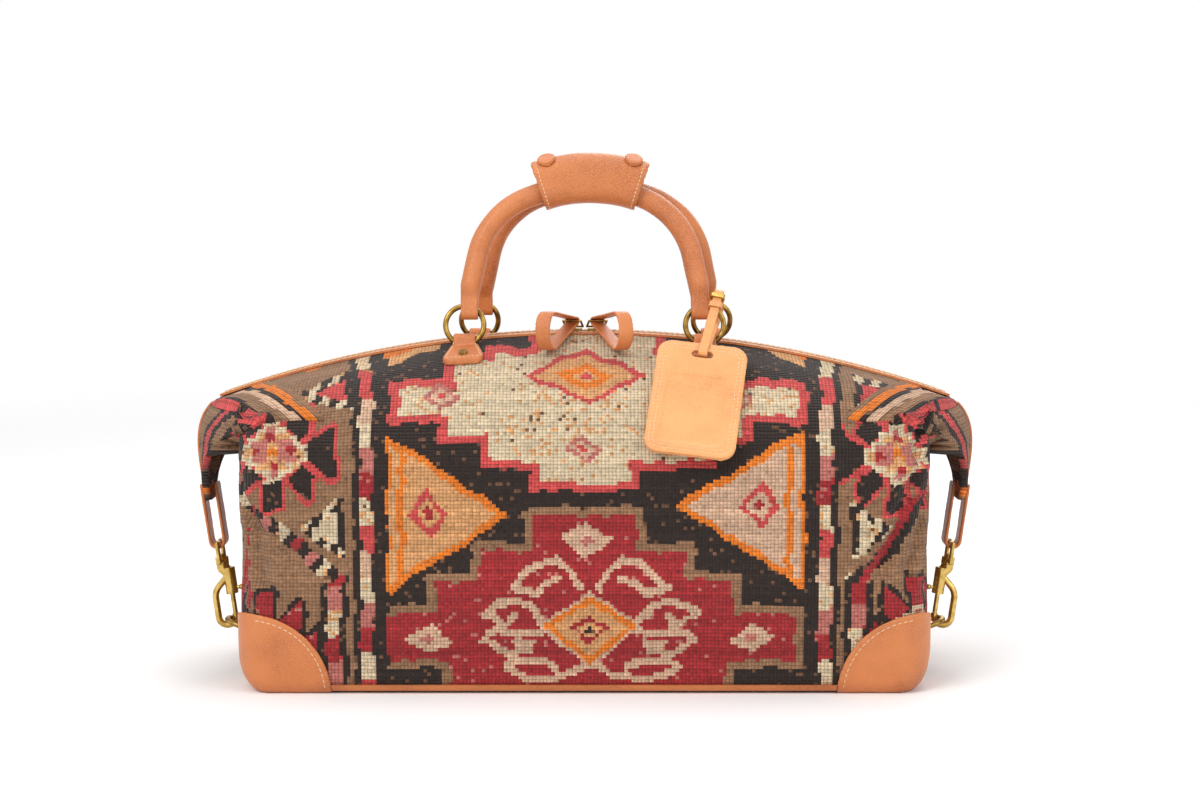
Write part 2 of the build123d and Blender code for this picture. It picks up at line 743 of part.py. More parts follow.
def end_ring():
    """D-shaped ring whose bow the snap hook is clipped to, and the tab that holds its bar."""
    apex = eye_frame * Pos(ring_x, 0, ring_level)
    play = end_ring_wire / 2 + ring_tab_play
    bar_x = half_body + ease + ring_tab_leather + play
    reach_x = apex.position.X - bar_x
    reach_z = apex.position.Z - end_ring_bar_height
    length = hypot(reach_x, reach_z)
    bow = end_ring_width / 2
    wire = end_ring_wire / 2
    corners = [(length - bow, -bow, 0), (0, -bow, 0), (0, bow, 0), (length - bow, bow, 0)]
    section = Pos(length - bow, -bow, 0) * (Plane.YZ * Circle(wire))
    ring = revolve(section, Axis((length - bow, 0, 0), (0, 0, 1)), 180)
    for start, end in zip(corners, corners[1:]):
        ring += rod(start, end, wire)
    tilt = -degrees(atan2(reach_z, reach_x))
    ring = Location((bar_x, 0, end_ring_bar_height), (0, tilt, 0)) * ring

    skin = body_form(ease + 2 * ring_tab_leather) - near_form
    pad_height = end_ring_bar_height - ring_tab_foot
    pad_middle = (end_ring_bar_height + ring_tab_foot) / 2
    pad = skin & Pos(half_body, 0, pad_middle) * Box(overrun, ring_tab_width, pad_height)
    loop = Pos(bar_x, 0, end_ring_bar_height) * Rot(90, 0, 0) * Cylinder(
        play + ring_tab_leather, ring_tab_width
    )
    bore = Pos(bar_x, 0, end_ring_bar_height) * Rot(90, 0, 0) * Cylinder(play, overrun)
    return ring, pad + loop - bore - near_form


def end_pieces():
    """Tabs, snap hooks and end rings on both ends."""
    ring, ring_tab = end_ring()
    pieces = {
        "end_tab": end_tab(),
        "clip_eye": eye_frame * clip_eye(),
        "clip_hook": eye_frame * clip_hook(),
        "clip_bolt": eye_frame * clip_bolt(),
        "clip_spring": eye_frame * clip_spring(),
        "end_ring": ring,
        "end_ring_tab": ring_tab,
    }
    return {f"{name}_{side}": copy for name, shape in pieces.items() for side, copy in pair(shape).items()}


def tag_pieces():
    """Luggage tag of two leaves, and the buckled strap that hangs it from the front right ring."""
    frame = Location(tag_place) * Location((0, 0, 0), (90 - tag_tilt, 0, 0))
    frame = frame * Pos(0, 0, tag_stand) * Rot(0, 0, -tag_roll)
    outline = RectangleRounded(tag_width, tag_length, tag_corner)
    slot_y = tag_length / 2 - tag_slot_drop
    outline -= Pos(0, slot_y) * SlotOverall(tag_slot_width, tag_slot_height)
    back = extrude(outline, tag_leaf)
    front = Pos(0, 0, tag_leaf) * extrude(outline, tag_leaf)
    panel = RectangleRounded(tag_panel_width, tag_panel_length, tag_panel_corner)
    panel_low = 2 * tag_leaf - tag_panel_depth
    front -= Pos(0, -tag_slot_drop, panel_low) * extrude(panel, overrun)

    slot = frame * Pos(0, slot_y, tag_leaf)
    sx, sy, sz = slot.position.X, slot.position.Y, slot.position.Z
    normal_y, normal_z = -cos(radians(tag_tilt)), sin(radians(tag_tilt))
    stand = tag_leaf + ease + strap_leather / 2
    route = [
        (sy + stand * normal_y, sz + stand * normal_z),
        strap_top,
        strap_back,
        (sy - stand * normal_y, sz - stand * normal_z),
    ]
    bends = [strap_fold, strap_bend, strap_bend, strap_fold]
    middle = make_face(FilletPolyline(*route, radius=bends, close=True))
    ribbon = offset(middle, strap_leather / 2) - offset(middle, -strap_leather / 2)
    lean = Axis((sx, sy, sz), (0, normal_y, normal_z))

    def leaned(shape):
        return (Pos(sx, 0, 0) * shape).rotate(lean, -strap_lean)

    strap = leaned(extrude(Plane.YZ * ribbon, strap_width / 2, both=True))
    run = Vector(0, *route[1]) - Vector(0, *route[0])

    def band(share, length, wall):
        inner = RectangleRounded(strap_width + 2 * ease, strap_leather + 2 * ease, ease)
        outer = RectangleRounded(
            strap_width + 2 * ease + 2 * wall, strap_leather + 2 * ease + 2 * wall, wall
        )
        start = Vector(0, *route[0]) + share * run
        plane = Plane(start, x_dir=(1, 0, 0), z_dir=run)
        return leaned(extrude(plane * (outer - inner), length))

    return {
        "tag_back": frame * back,
        "tag_front": frame * front,
        "tag_strap": strap,
        "tag_keeper": band(keeper_share, keeper_length, keeper_leather),
        "tag_buckle": band(buckle_share, buckle_length, buckle_frame),
    }


nodes = {}
for group in (
    rug_panels, inner_pieces, base_trim, zip_pieces, zip_runners,
    handle_pieces, wrap_pieces, end_pieces, tag_pieces,
):
    nodes.update(group())

os.makedirs("parts", exist_ok=True)
for name, shape in nodes.items():
    solids = [s for piece in (shape if isinstance(shape, list) else [shape]) for s in piece.solids()]
    export_step(solids[0] if len(solids) == 1 else Compound(solids), f"parts/{name}.step")
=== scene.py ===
import json
import math

import bpy
import numpy as np
from mathutils import Matrix, Vector, noise
from mathutils.bvhtree import BVHTree


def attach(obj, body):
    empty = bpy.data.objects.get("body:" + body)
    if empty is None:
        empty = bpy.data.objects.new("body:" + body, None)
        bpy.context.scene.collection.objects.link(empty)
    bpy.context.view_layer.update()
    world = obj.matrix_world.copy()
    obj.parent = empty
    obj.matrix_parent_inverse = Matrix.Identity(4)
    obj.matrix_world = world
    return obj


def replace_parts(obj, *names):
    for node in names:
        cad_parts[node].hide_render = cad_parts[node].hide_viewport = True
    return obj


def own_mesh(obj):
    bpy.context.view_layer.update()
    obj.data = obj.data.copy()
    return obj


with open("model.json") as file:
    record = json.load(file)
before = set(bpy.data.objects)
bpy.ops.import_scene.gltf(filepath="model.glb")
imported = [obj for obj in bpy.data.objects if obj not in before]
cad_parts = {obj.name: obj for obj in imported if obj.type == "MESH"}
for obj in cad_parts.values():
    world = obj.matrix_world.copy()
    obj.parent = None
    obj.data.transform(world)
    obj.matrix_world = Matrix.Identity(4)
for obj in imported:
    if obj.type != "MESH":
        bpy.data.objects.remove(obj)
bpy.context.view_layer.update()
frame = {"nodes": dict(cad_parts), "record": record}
nodes = frame["nodes"]

SIDES = ("left", "right")
FACES = ("front", "back")
SIGNS = (-1, 1)

# Camera, in metres, degrees and millimetres of lens
CAMERA_PLACE = (0.01125, -1.8, 0.365)
CAMERA_PITCH = 5.21
LENS = 72.4
SENSOR = 36.0

# The bag's form, as in the part
ZIP_RADIUS = 0.81539
ZIP_CENTRE = -0.56439
SLOT_EDGE = 0.0083
BASE_EDGE = (0.1012, 0.0046)
MAIN_RUN = 0.221
END_RADIUS = 0.026
END_X = 0.247
CORNER_Y = 0.081
WALL_TOP = 0.192
SECTION_HUB = 0.110
FAR = 0.5
NEAR = 0.012
TINY = 1e-12
FLAP_EDGE = 0.287
FLAP_BOW = 0.121
FLAP_HALF = 0.0985
FLAP_ROOF = 0.052
FLAP_TOP = 0.1995
FLAP_TIP = 0.1265
FLAP_LIFT = 0.0004
FLAP_THICKNESS = 0.005

# Rug knots
KNOT_WIDTH = 0.0026
KNOT_HEIGHT = 0.0026
KNOT_DEPTH = 0.0013
PROFILE_RAYS = 260

# The rug's drawing: its units are those of a picture seen from the front at VIEW_DISTANCE
DRAW_MIDDLE = 585.0
DRAW_EYE = 178.0
DRAW_SCALE = 2400.0
VIEW_DISTANCE = 1.8
VIEW_HEIGHT = 0.365
LINE_STRAY = (1.5, 1.0)
STRAY_LENGTHS = (11.0, 4.6)
STRAY_SLANT = 31.0
POLE_SLANT = 0.6

# Rug colours, as red, green and blue out of 255
SHADES = {
    "black": (48, 38, 34), "brown": (150, 113, 84), "cream": (218, 198, 166), "coral": (206, 78, 76),
    "red": (166, 46, 50), "orange": (232, 126, 40), "tan": (216, 160, 108), "pale": (212, 174, 146),
    "pink": (192, 116, 106), "umber": (112, 80, 60),
}
SHADE_NAMES = list(SHADES)


def linear(rgb):
    """Linear colour of a red, green and blue out of 255."""
    shares = np.asarray(rgb, dtype=float) / 255
    return np.where(shares <= 0.04045, shares / 12.92, ((shares + 0.055) / 1.055) ** 2.4)


def soft_step(value, low, high):
    """Share from 0 below low to 1 above high."""
    share = np.clip((value - low) / (high - low), 0, 1)
    return share * share * (3 - 2 * share)


class Drawing:
    """Knots at places px, py, painted one shape after the other."""

    def __init__(self, px, py, ground):
        wide, small = LINE_STRAY
        slow, quick = STRAY_LENGTHS
        self.px = px + wide * np.sin(py / slow) + small * np.sin(py / quick + px / STRAY_SLANT)
        self.py = py + wide * np.sin(px / slow + 1) + small * np.sin(px / quick + py / STRAY_SLANT)
        self.shade = np.full(px.shape, SHADE_NAMES.index(ground))

    def paint(self, mask, shade):
        self.shade[mask] = SHADE_NAMES.index(shade)

    def steps(self, boxes, inset_x=0.0, inset_y=0.0):
        """Inside of a stepped figure drawn in by an inset."""
        inside = np.ones(self.px.shape, bool)
        for dx in (-inset_x, inset_x):
            for dy in (-inset_y, inset_y):
                corner = np.zeros(self.px.shape, bool)
                for x0, y0, x1, y1 in boxes:
                    px, py = self.px + dx, self.py + dy
                    corner |= (px >= x0) & (px < x1) & (py >= y0) & (py < y1)
                inside &= corner
        return inside

    def diamond(self, x, y, half_x, half_y):
        return np.abs(self.px - x) / half_x + np.abs(self.py - y) / half_y <= 1

    def diamonds(self, table):
        for x, y, half_x, half_y, shade in table:
            self.paint(self.diamond(x, y, half_x, half_y), shade)

    def polygon(self, points):
        """Inside of a closed outline."""
        inside = np.zeros(self.px.shape, bool)
        for (x0, y0), (x1, y1) in zip(points, tuple(points[1:]) + tuple(points[:1])):
            if y0 != y1:
                crosses = (self.py < y0) != (self.py < y1)
                inside ^= crosses & (self.px < x0 + (self.py - y0) * (x1 - x0) / (y1 - y0))
        return inside

    def distance(self, points):
        """Distance from a line through the points."""
        nearest = np.full(self.px.shape, np.inf)
        for (x0, y0), (x1, y1) in zip(points, points[1:]):
            run, rise = x1 - x0, y1 - y0
            share = ((self.px - x0) * run + (self.py - y0) * rise) / (run * run + rise * rise)
            share = np.clip(share, 0, 1)
            away = np.hypot(self.px - x0 - share * run, self.py - y0 - share * rise)
            nearest = np.minimum(nearest, away)
        return nearest

    def outline(self, points, width):
        return self.distance(tuple(points) + tuple(points[:1])) <= width

    def pole(self, points, width, shades, length):
        """Line of short lengths in changing colours."""
        near = self.distance(points) <= width
        step = np.floor((self.px + POLE_SLANT * self.py) / length).astype(int) % len(shades)
        for index, shade in enumerate(shades):
            self.paint(near & (step == index), shade)

    def bar(self, low, high, top, foot, shades, length):
        """Upright stripe, in one colour or in lengths of several."""
        inside = (self.px >= low) & (self.px < high) & (self.py >= top) & (self.py < foot)
        step = np.floor((self.py + low) / length).astype(int) % len(shades)
        for index, shade in enumerate(shades):
            self.paint(inside & (step == index), shade)


# Drawing of the centre field
UPPER_STEPS = (
    (530, 300, 665, 343), (487, 343, 700, 360), (447, 350, 730, 376), (389, 376, 808, 420),
    (440, 420, 755, 440), (480, 440, 715, 466), (530, 466, 640, 489),
)
UPPER_EDGE = (10, 8)
LOWER_STEPS = (
    (524, 505, 646, 541), (472, 541, 697, 571), (426, 571, 743, 605),
    (374, 605, 808, 669), (440, 669, 735, 720),
)
LOWER_EDGE = (9, 8)
CORNER_FIELDS = (
    ((392, 362), (440, 346), (444, 330), (388, 336)),
    ((804, 362), (756, 346), (752, 330), (808, 336)),
)
CORNER_LINES = (((388, 352), (438, 338)), ((808, 352), (758, 338)))
CORNER_LINE_WIDTH = 3.0
SMALL_PLACES = ((441, 393), (735, 395), (585, 445))
SMALL_DIAMONDS = ((20, 14, "pink"), (13, 9, "pale"), (6, 4, "coral"))
UPPER_DIAMONDS = (
    (587, 372, 63, 27, "coral"), (587, 372, 52, 22, "tan"), (587, 372, 30, 13, "orange"),
    (587, 372, 15, 6, "tan"), (587, 372, 6, 4, "coral"),
    *((*place, *small) for place in SMALL_PLACES for small in SMALL_DIAMONDS),
)
TRIANGLES = (
    (((384, 428), (382, 597), (511, 513)), 1, "tan"),
    (((808, 423), (810, 590), (675, 504)), -1, "pale"),
)
TRIANGLE_EDGE = 7.0
TRIANGLE_STRIPE = 17.0
TRIANGLE_STRIPE_HALF = 3.5
MOTIF_PLACE = 45.0
MOTIF_HALVES = ((20, 25, "coral"), (13, 16, None), (6, 8, "red"))
LOWER_DIAMONDS = (
    (586, 538, 27, 19, "pale"), (586, 538, 8, 6, "pink"), (430, 640, 24, 15, "pale"),
    (430, 640, 8, 5, "pink"), (755, 638, 24, 15, "pale"), (755, 638, 8, 5, "pink"),
)
CENTRE_DIAMONDS = (
    (591, 628, 53, 39, "pale"), (591, 628, 48, 35, "orange"), (591, 628, 38, 27, "tan"),
    (591, 628, 20, 14, "red"), (591, 628, 13, 9, "tan"), (591, 628, 6, 5, "black"),
)
SCROLL_CENTRE = (591, 628)
SCROLL_WIDTH = 3.7
SCROLLS = (
    ((-9, -42), (-20, -58), (-35, -68), (-51, -66), (-67, -54), (-78, -42), (-63, -39), (-53, -35)),
    ((-53, -35), (-46, -45), (-31, -49)),
    ((-45, -3), (-62, -24), (-80, -29), (-97, -22), (-107, -12), (-94, -8), (-84, -2), (-78, -14)),
    ((-47, 4), (-66, 3), (-94, 4), (-107, 14), (-94, 21), (-80, 26), (-60, 21), (-58, 13), (-74, 14)),
    ((-4, 35), (-21, 47), (-45, 53), (-68, 48), (-87, 40), (-80, 32), (-62, 32), (-47, 36), (-36, 42)),
)


def centre_field(art):
    """Two stepped medallions between two triangles."""
    for field, line in zip(CORNER_FIELDS, CORNER_LINES):
        art.paint(art.polygon(field), "tan")
        art.paint(art.distance(line) <= CORNER_LINE_WIDTH, "orange")
    art.paint(art.steps(UPPER_STEPS), "coral")
    art.paint(art.steps(UPPER_STEPS, *UPPER_EDGE), "cream")
    art.diamonds(UPPER_DIAMONDS)
    for points, towards, fill in TRIANGLES:
        inside = art.polygon(points)
        side, middle = points[0][0], points[2][1]
        art.paint(inside, fill)
        art.paint(inside & art.outline(points, TRIANGLE_EDGE), "orange")
        stripe = np.abs(art.px - side - towards * TRIANGLE_STRIPE) < TRIANGLE_STRIPE_HALF
        art.paint(inside & stripe, "orange")
        for half_x, half_y, shade in MOTIF_HALVES:
            art.paint(art.diamond(side + towards * MOTIF_PLACE, middle, half_x, half_y), shade or fill)
    art.paint(art.steps(LOWER_STEPS), "brown")
    art.paint(art.steps(LOWER_STEPS, *LOWER_EDGE), "red")
    art.diamonds(LOWER_DIAMONDS)
    x, y = SCROLL_CENTRE
    for line in SCROLLS:
        for turn in SIGNS:
            placed = [(x + turn * dx, y + dy) for dx, dy in line]
            art.paint(art.distance(placed) <= SCROLL_WIDTH, "pale")
    art.diamonds(CENTRE_DIAMONDS)


# Figures of the borders; stripes and spikes are placed outwards from the edge of the centre field
STAR_ARMS = (
    ((-7, -22), (-10, -60), (10, -60), (7, -22)),
    ((34, -9), (62, -29), (62, 29), (34, 9)),
    ((13, -27), (37, -52), (40, -24), (28, -12)),
)
STAR_CELL = (9.0, 7.6)
STAR_EDGE = 4.5
STAR_RANKS = 3
SEGMENT = 26.0
BORDER_STRIPES = (
    (-13, 1, ("black",)), (1, 14, ("cream", "pink", "red", "cream", "coral", "pale")),
    (14, 21, ("black",)),
)
LOWER_STRIPES = ((27, 34, ("black",)), (34, 48, ("cream", "red", "pink")), (49, 56, ("black",)))
END_STRIPES = (
    (178, 186, ("black",)), (186, 199, ("cream", "red", "pink", "orange")), (199, 207, ("black",)),
)
LOWER_TOP = 580
PANEL_TOP = 200
PANEL_FOOT = 760
RIDGE_STRIPES = ((0, 5.0, "orange"), (10, 4.0, "pale"), (18, 4.0, "black"))
POLE_WIDTH = 3.6
POLE_LENGTH = 9.0
POLE_SHADES = ("cream", "black")
BAND_WIDTH = 7.5
BAND_LENGTH = 11.0
BAND_SHADES = ("cream", "black", "red", "black", "pink", "black")
SPIKES = (
    (132, 606, "red"), (143, 620, "black"), (154, 606, "red"), (165, 620, "black"), (176, 606, "red"),
)
SPIKE_HALF = 5.0
SPIKE_RISE = 86.0
END_PLACE = 240
END_FIGURES = tuple(zip(range(400, 700, 52), 2 * ("coral", "cream", "orange")))
END_HALVES = ((27, 24, "black"), (18, 16, None), (8, 7, "brown"))
BORDERS = (
    {
        "edge": 374, "out": -1, "star": (273, 449), "low_star": (262, 652),
        "triangles": ((350, 305, 388, 16, "coral"), (341, 303, 527, 27, "cream")),
        "band": ((222, 488), (262, 519), (300, 546), (341, 580)), "stripe": ((250, 380), (347, 351)),
    },
    {
        "edge": 820, "out": 1, "star": (900, 452), "low_star": (924, 636),
        "triangles": ((857, 899, 388, 14, "coral"), (857, 890, 528, 25, "cream")),
        "band": ((958, 470), (918, 505), (893, 548), (858, 580)), "stripe": ((940, 384), (856, 352)),
    },
)


def star(art, place, arms, rim, core):
    """Eight-armed star round a stepped cross."""
    x, y = place
    shapes = []
    for points in STAR_ARMS:
        for sx in SIGNS:
            for sy in SIGNS:
                shapes.append([(x + sx * dx, y + sy * dy) for dx, dy in points])
    for shape in shapes:
        art.paint(art.outline(shape, STAR_EDGE), rim)
    for shape in shapes:
        art.paint(art.polygon(shape), arms)
    dx, dy = np.abs(art.px - x), np.abs(art.py - y)

    def ranks(across, up):
        return np.floor(across / STAR_CELL[0] + 0.5) + np.floor(up / STAR_CELL[1] + 0.5)

    art.paint(ranks(np.maximum(dx - STAR_EDGE, 0), np.maximum(dy - STAR_EDGE, 0)) <= STAR_RANKS, "cream")
    odd = np.floor(dx / STAR_CELL[0] + 0.5) % 2 == 1
    shades = (("orange", "orange"), ("tan", "pink"), core, ("pink", "tan"))
    for rank, (even_shade, odd_shade) in enumerate(shades):
        art.paint((ranks(dx, dy) == rank) & ~odd, even_shade)
        art.paint((ranks(dx, dy) == rank) & odd, odd_shade)


def border(art, side):
    """Striped edge, then stars, triangles and poles on the brown ground."""
    edge, out = side["edge"], side["out"]

    def bars(stripes, top):
        for start, end, shades in stripes:
            low, high = sorted((edge + out * start, edge + out * end))
            art.bar(low, high, top, PANEL_FOOT, shades, SEGMENT)

    art.paint((art.px - edge) * out > BORDER_STRIPES[0][0], "brown")
    for lift, width, shade in RIDGE_STRIPES:
        line = [(px, py - lift) for px, py in side["stripe"]]
        art.paint(art.distance(line) <= width, shade)
    star(art, side["low_star"], "red", "black", ("cream", "pale"))
    star(art, side["star"], "black", "coral", ("red", "pink"))
    for near, tip, middle, half, shade in side["triangles"]:
        upper, lower, point = (near, middle - half), (near, middle + half), (tip, middle)
        art.paint(art.polygon((upper, lower, point)), shade)
        art.paint(art.distance((upper, lower)) <= POLE_WIDTH, "black")
        art.pole((upper, point, lower), POLE_WIDTH, POLE_SHADES, POLE_LENGTH)
    art.pole(side["band"], BAND_WIDTH, BAND_SHADES, BAND_LENGTH)
    bars(LOWER_STRIPES, LOWER_TOP)
    for place, foot, shade in SPIKES:
        x = edge + out * place
        spike = ((x - SPIKE_HALF, foot), (x + SPIKE_HALF, foot), (x, foot - SPIKE_RISE))
        art.paint(art.polygon(spike), shade)
    bars(END_STRIPES, PANEL_TOP)
    for y, fill in END_FIGURES:
        for half_x, half_y, shade in END_HALVES:
            art.paint(art.diamond(edge + out * END_PLACE, y, half_x, half_y), shade or fill)
    bars(BORDER_STRIPES, PANEL_TOP)


def panel_shades(px, py):
    """Colours of the knots of a whole panel."""
    art = Drawing(px, py, "black")
    centre_field(art)
    for side in BORDERS:
        border(art, side)
    return art.shade


# Drawing of a flap: bands over its roof, bands along its edges, a band near its point, and a diamond
ROOF_BANDS = (
    (-62, -52, "orange"), (-52, -46, "black"), (-46, -36, "pale"), (-22, -16, "black"), (-16, -6, "coral"),
)
EDGE_BANDS = (
    (128, 200, "coral"), (116, 128, "black"), (104, 116, "brown"), (96, 104, "black"), (86, 96, "coral"),
    (79, 86, "black"),
)
EDGE_START = -6
EDGE_SLANT = 0.62
POINT_BANDS = ((72, 82, "black"), (82, 92, "orange"))
FLAP_DIAMONDS = (
    (0, 36, 44, 30, "black"), (0, 36, 34, 23, "cream"), (0, 36, 26, 17, "coral"), (0, 36, 13, 9, "orange"),
)


def flap_shades(across, down):
    """Colours of a flap's knots."""
    art = Drawing(across, down, "brown")
    for low, high, shade in ROOF_BANDS:
        art.paint((art.py >= low) & (art.py < high), shade)
    slant = np.abs(art.px) + EDGE_SLANT * np.maximum(art.py, 0)
    for low, high, shade in EDGE_BANDS:
        art.paint((art.py > EDGE_START) & (slant >= low) & (slant < high), shade)
    for low, high, shade in POINT_BANDS:
        art.paint((art.py >= low) & (art.py < high), shade)
    art.diamonds(FLAP_DIAMONDS)
    return art.shade


# Wool: clumps in knots and where they start, shares of worn knots, and how far knots and rows differ
CLUMP_RUNS = (9, 5, 6.5, 17)
CLUMP_STARTS = (0.4, 1.0)
TAN_SHARES = (0.05, 0.17)
DARK_SHARES = (0.988, 0.02)
PINK_SHARE = 0.03
UMBER_SHARE = 0.05
KNOT_SHARE = 0.10
ROW_SHARE = 0.08
RUG_SEEDS = {"front": 3, "back": 8, "right": 11, "left": 14}


def rug_colours(shade, place):
    """Linear colours of knots: each knot differs a little, rows of wool differ, some are worn."""
    rng = np.random.default_rng(RUG_SEEDS[place])
    palette = np.array([linear(SHADES[name]) for name in SHADE_NAMES])
    colours = palette[shade]
    row, column = np.indices(shade.shape)
    across, sway, down, slant = CLUMP_RUNS
    clump = np.sin(column / across + np.sin(row / sway)) + np.sin(row / down + column / slant + 1)
    pale_clump, dark_clump = (clump > start for start in CLUMP_STARTS)
    chance = rng.random(shade.shape)

    def wear(name, mask, worn):
        colours[(shade == SHADE_NAMES.index(name)) & mask] = linear(SHADES[worn])

    wear("cream", chance < TAN_SHARES[0] + TAN_SHARES[1] * pale_clump, "tan")
    wear("cream", chance > DARK_SHARES[0] - DARK_SHARES[1] * dark_clump, "umber")
    wear("red", chance < PINK_SHARE, "pink")
    wear("black", chance < UMBER_SHARE, "umber")
    value = 1 + KNOT_SHARE * rng.standard_normal(shade.shape)
    rows = 1 + ROW_SHARE * rng.standard_normal((shade.shape[0], 1))
    return np.clip(colours * (value * rows)[..., None], 0, 1)


# Folds in the cloth of a panel: line in the drawing, its half width there, and depth in metres
CREASES = (
    (((226, 468), (252, 530), (266, 600)), 7.0, 0.0040),
    (((238, 508), (292, 556)), 8.0, 0.0026),
    (((214, 520), (232, 600)), 8.0, 0.0036),
    (((300, 372), (338, 430)), 12.0, 0.0020),
    (((930, 432), (908, 500), (884, 566)), 7.0, 0.0046),
    (((944, 474), (920, 540), (910, 604)), 6.5, 0.0040),
    (((898, 424), (934, 458)), 6.5, 0.0032),
    (((958, 520), (944, 600)), 8.0, 0.0036),
    (((872, 392), (850, 470)), 12.0, 0.0022),
    (((420, 600), (540, 672)), 20.0, 0.0016),
    (((760, 590), (650, 676)), 20.0, 0.0016),
)
WAVES = ((183.0, 0.9, 1.7), (129.0, -0.6, 0.2), (291.0, 0.35, 4.1))
WAVE_DEPTH = 0.0022
LIP_SHARE = 0.35
LIP_PLACE = 2
PATCH_MIDDLES = ((248, 693), (922, 693))
PATCH_CLEAR = (86, 118)
ZIP_CLEAR = (0.048, 0.085)
BASE_CLEAR = (0.008, 0.030)


def cloth_depth(px, py):
    """How far the cloth lies behind its full form: soft waves, and creases with swollen lips."""
    art = Drawing(px, py, "brown")
    depth = np.zeros(px.shape)
    for length, slant, phase in WAVES:
        depth += (0.5 + 0.5 * np.sin(2 * math.pi * (px + slant * py) / length + phase)) / len(WAVES)
    depth *= WAVE_DEPTH
    for line, width, deep in CREASES:
        far = art.distance(line) / width
        depth += deep * (np.exp(-far * far) - LIP_SHARE * np.exp(-((far - LIP_PLACE) ** 2)))
    for x, y in PATCH_MIDDLES:
        depth *= soft_step(np.hypot(px - x, py - y), *PATCH_CLEAR)
    return np.maximum(depth, 0)


# Surfaces
def tree_of(*names):
    """Search tree over the faces of some nodes."""
    points, faces = [], []
    for name in names:
        mesh = nodes[name].data
        start = len(points)
        points += [v.co.copy() for v in mesh.vertices]
        faces += [[start + i for i in p.vertices] for p in mesh.polygons]
    return BVHTree.FromPolygons(points, faces)


def hit(tree, start, way):
    """Place where a ray first meets a surface, or None."""
    return tree.ray_cast(Vector(start), Vector(way).normalized())[0]


def new_object(name, mesh, material, body="bag"):
    """Object of a mesh that rides on a body and takes a finish."""
    piece = bpy.data.objects.new(name, mesh)
    bpy.context.collection.objects.link(piece)
    mesh.materials.clear()
    mesh.materials.append(material)
    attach(piece, body)
    return piece


def grid_mesh(name, points, colours, knots, keep=None):
    """Mesh of a grid of points, with a colour for each face and its knots as texture places."""
    rows, columns = points.shape[:2]
    index = np.arange(rows * columns).reshape(rows, columns)
    quads = np.stack([index[:-1, :-1], index[:-1, 1:], index[1:, 1:], index[1:, :-1]], axis=-1)
    keep = np.ones(quads.shape[:2], bool) if keep is None else keep
    used, faces = np.unique(quads[keep], return_inverse=True)
    mesh = bpy.data.meshes.new(name)
    mesh.from_pydata(points.reshape(-1, 3)[used].tolist(), [], faces.reshape(-1, 4).tolist())
    tint = mesh.attributes.new("wool", "FLOAT_COLOR", "CORNER")
    shown = np.concatenate([colours, np.ones(colours.shape[:2] + (1,))], axis=-1)[keep]
    tint.data.foreach_set("color", np.repeat(shown, 4, axis=0).ravel().astype(np.float32))
    places = mesh.uv_layers.new(name="knots")
    corners = knots.reshape(-1, 2)[quads[keep]]
    places.data.foreach_set("uv", corners.ravel().astype(np.float32))
    mesh.polygons.foreach_set("use_smooth", np.ones(len(mesh.polygons), bool))
    mesh.update()
    return mesh


def run_lengths(points):
    """Distance along each row of points."""
    steps = np.linalg.norm(np.diff(points, axis=-2), axis=-1)
    return np.concatenate([np.zeros(steps.shape[:-1] + (1,)), np.cumsum(steps, axis=-1)], axis=-1)


def section_line(tree, x):
    """Outer line of the front panel at x, from the base to the zip."""
    ridge = ZIP_CENTRE + math.sqrt(ZIP_RADIUS**2 - x**2)
    low = math.atan2(BASE_EDGE[1] - SECTION_HUB, BASE_EDGE[0])
    high = math.atan2(ridge - SECTION_HUB, SLOT_EDGE)
    line = []
    for angle in np.linspace(low, high, PROFILE_RAYS):
        way = Vector((0, -math.cos(angle), math.sin(angle)))
        place = hit(tree, Vector((x, 0, SECTION_HUB)) + way * FAR, -way)
        if place:
            line.append(place)
    return np.array(line)


def spaced(line, count):
    """A line's points spaced evenly."""
    along = run_lengths(line)
    wanted = np.linspace(0, along[-1], count)
    return np.stack([np.interp(wanted, along, line[:, axis]) for axis in range(3)], axis=-1)


def drawing_places(points, unrolled):
    """Places in the rug's drawing of points whose distance from the middle is given unrolled."""
    depth = VIEW_DISTANCE + points[..., 1]
    px = DRAW_MIDDLE + DRAW_SCALE * unrolled / depth
    py = DRAW_EYE + DRAW_SCALE * (VIEW_HEIGHT - points[..., 2]) / depth
    return px, py


def centred(values):
    """Values at the middles of a grid's faces."""
    return (values[:-1, :-1] + values[1:, :-1] + values[:-1, 1:] + values[1:, 1:]) / 4


def outward(points):
    """Unit normals of a grid of points."""
    normal = np.cross(np.gradient(points, axis=1), np.gradient(points, axis=0))
    length = np.linalg.norm(normal, axis=-1, keepdims=True)
    return np.where(length > 0, normal / np.maximum(length, TINY), 0)


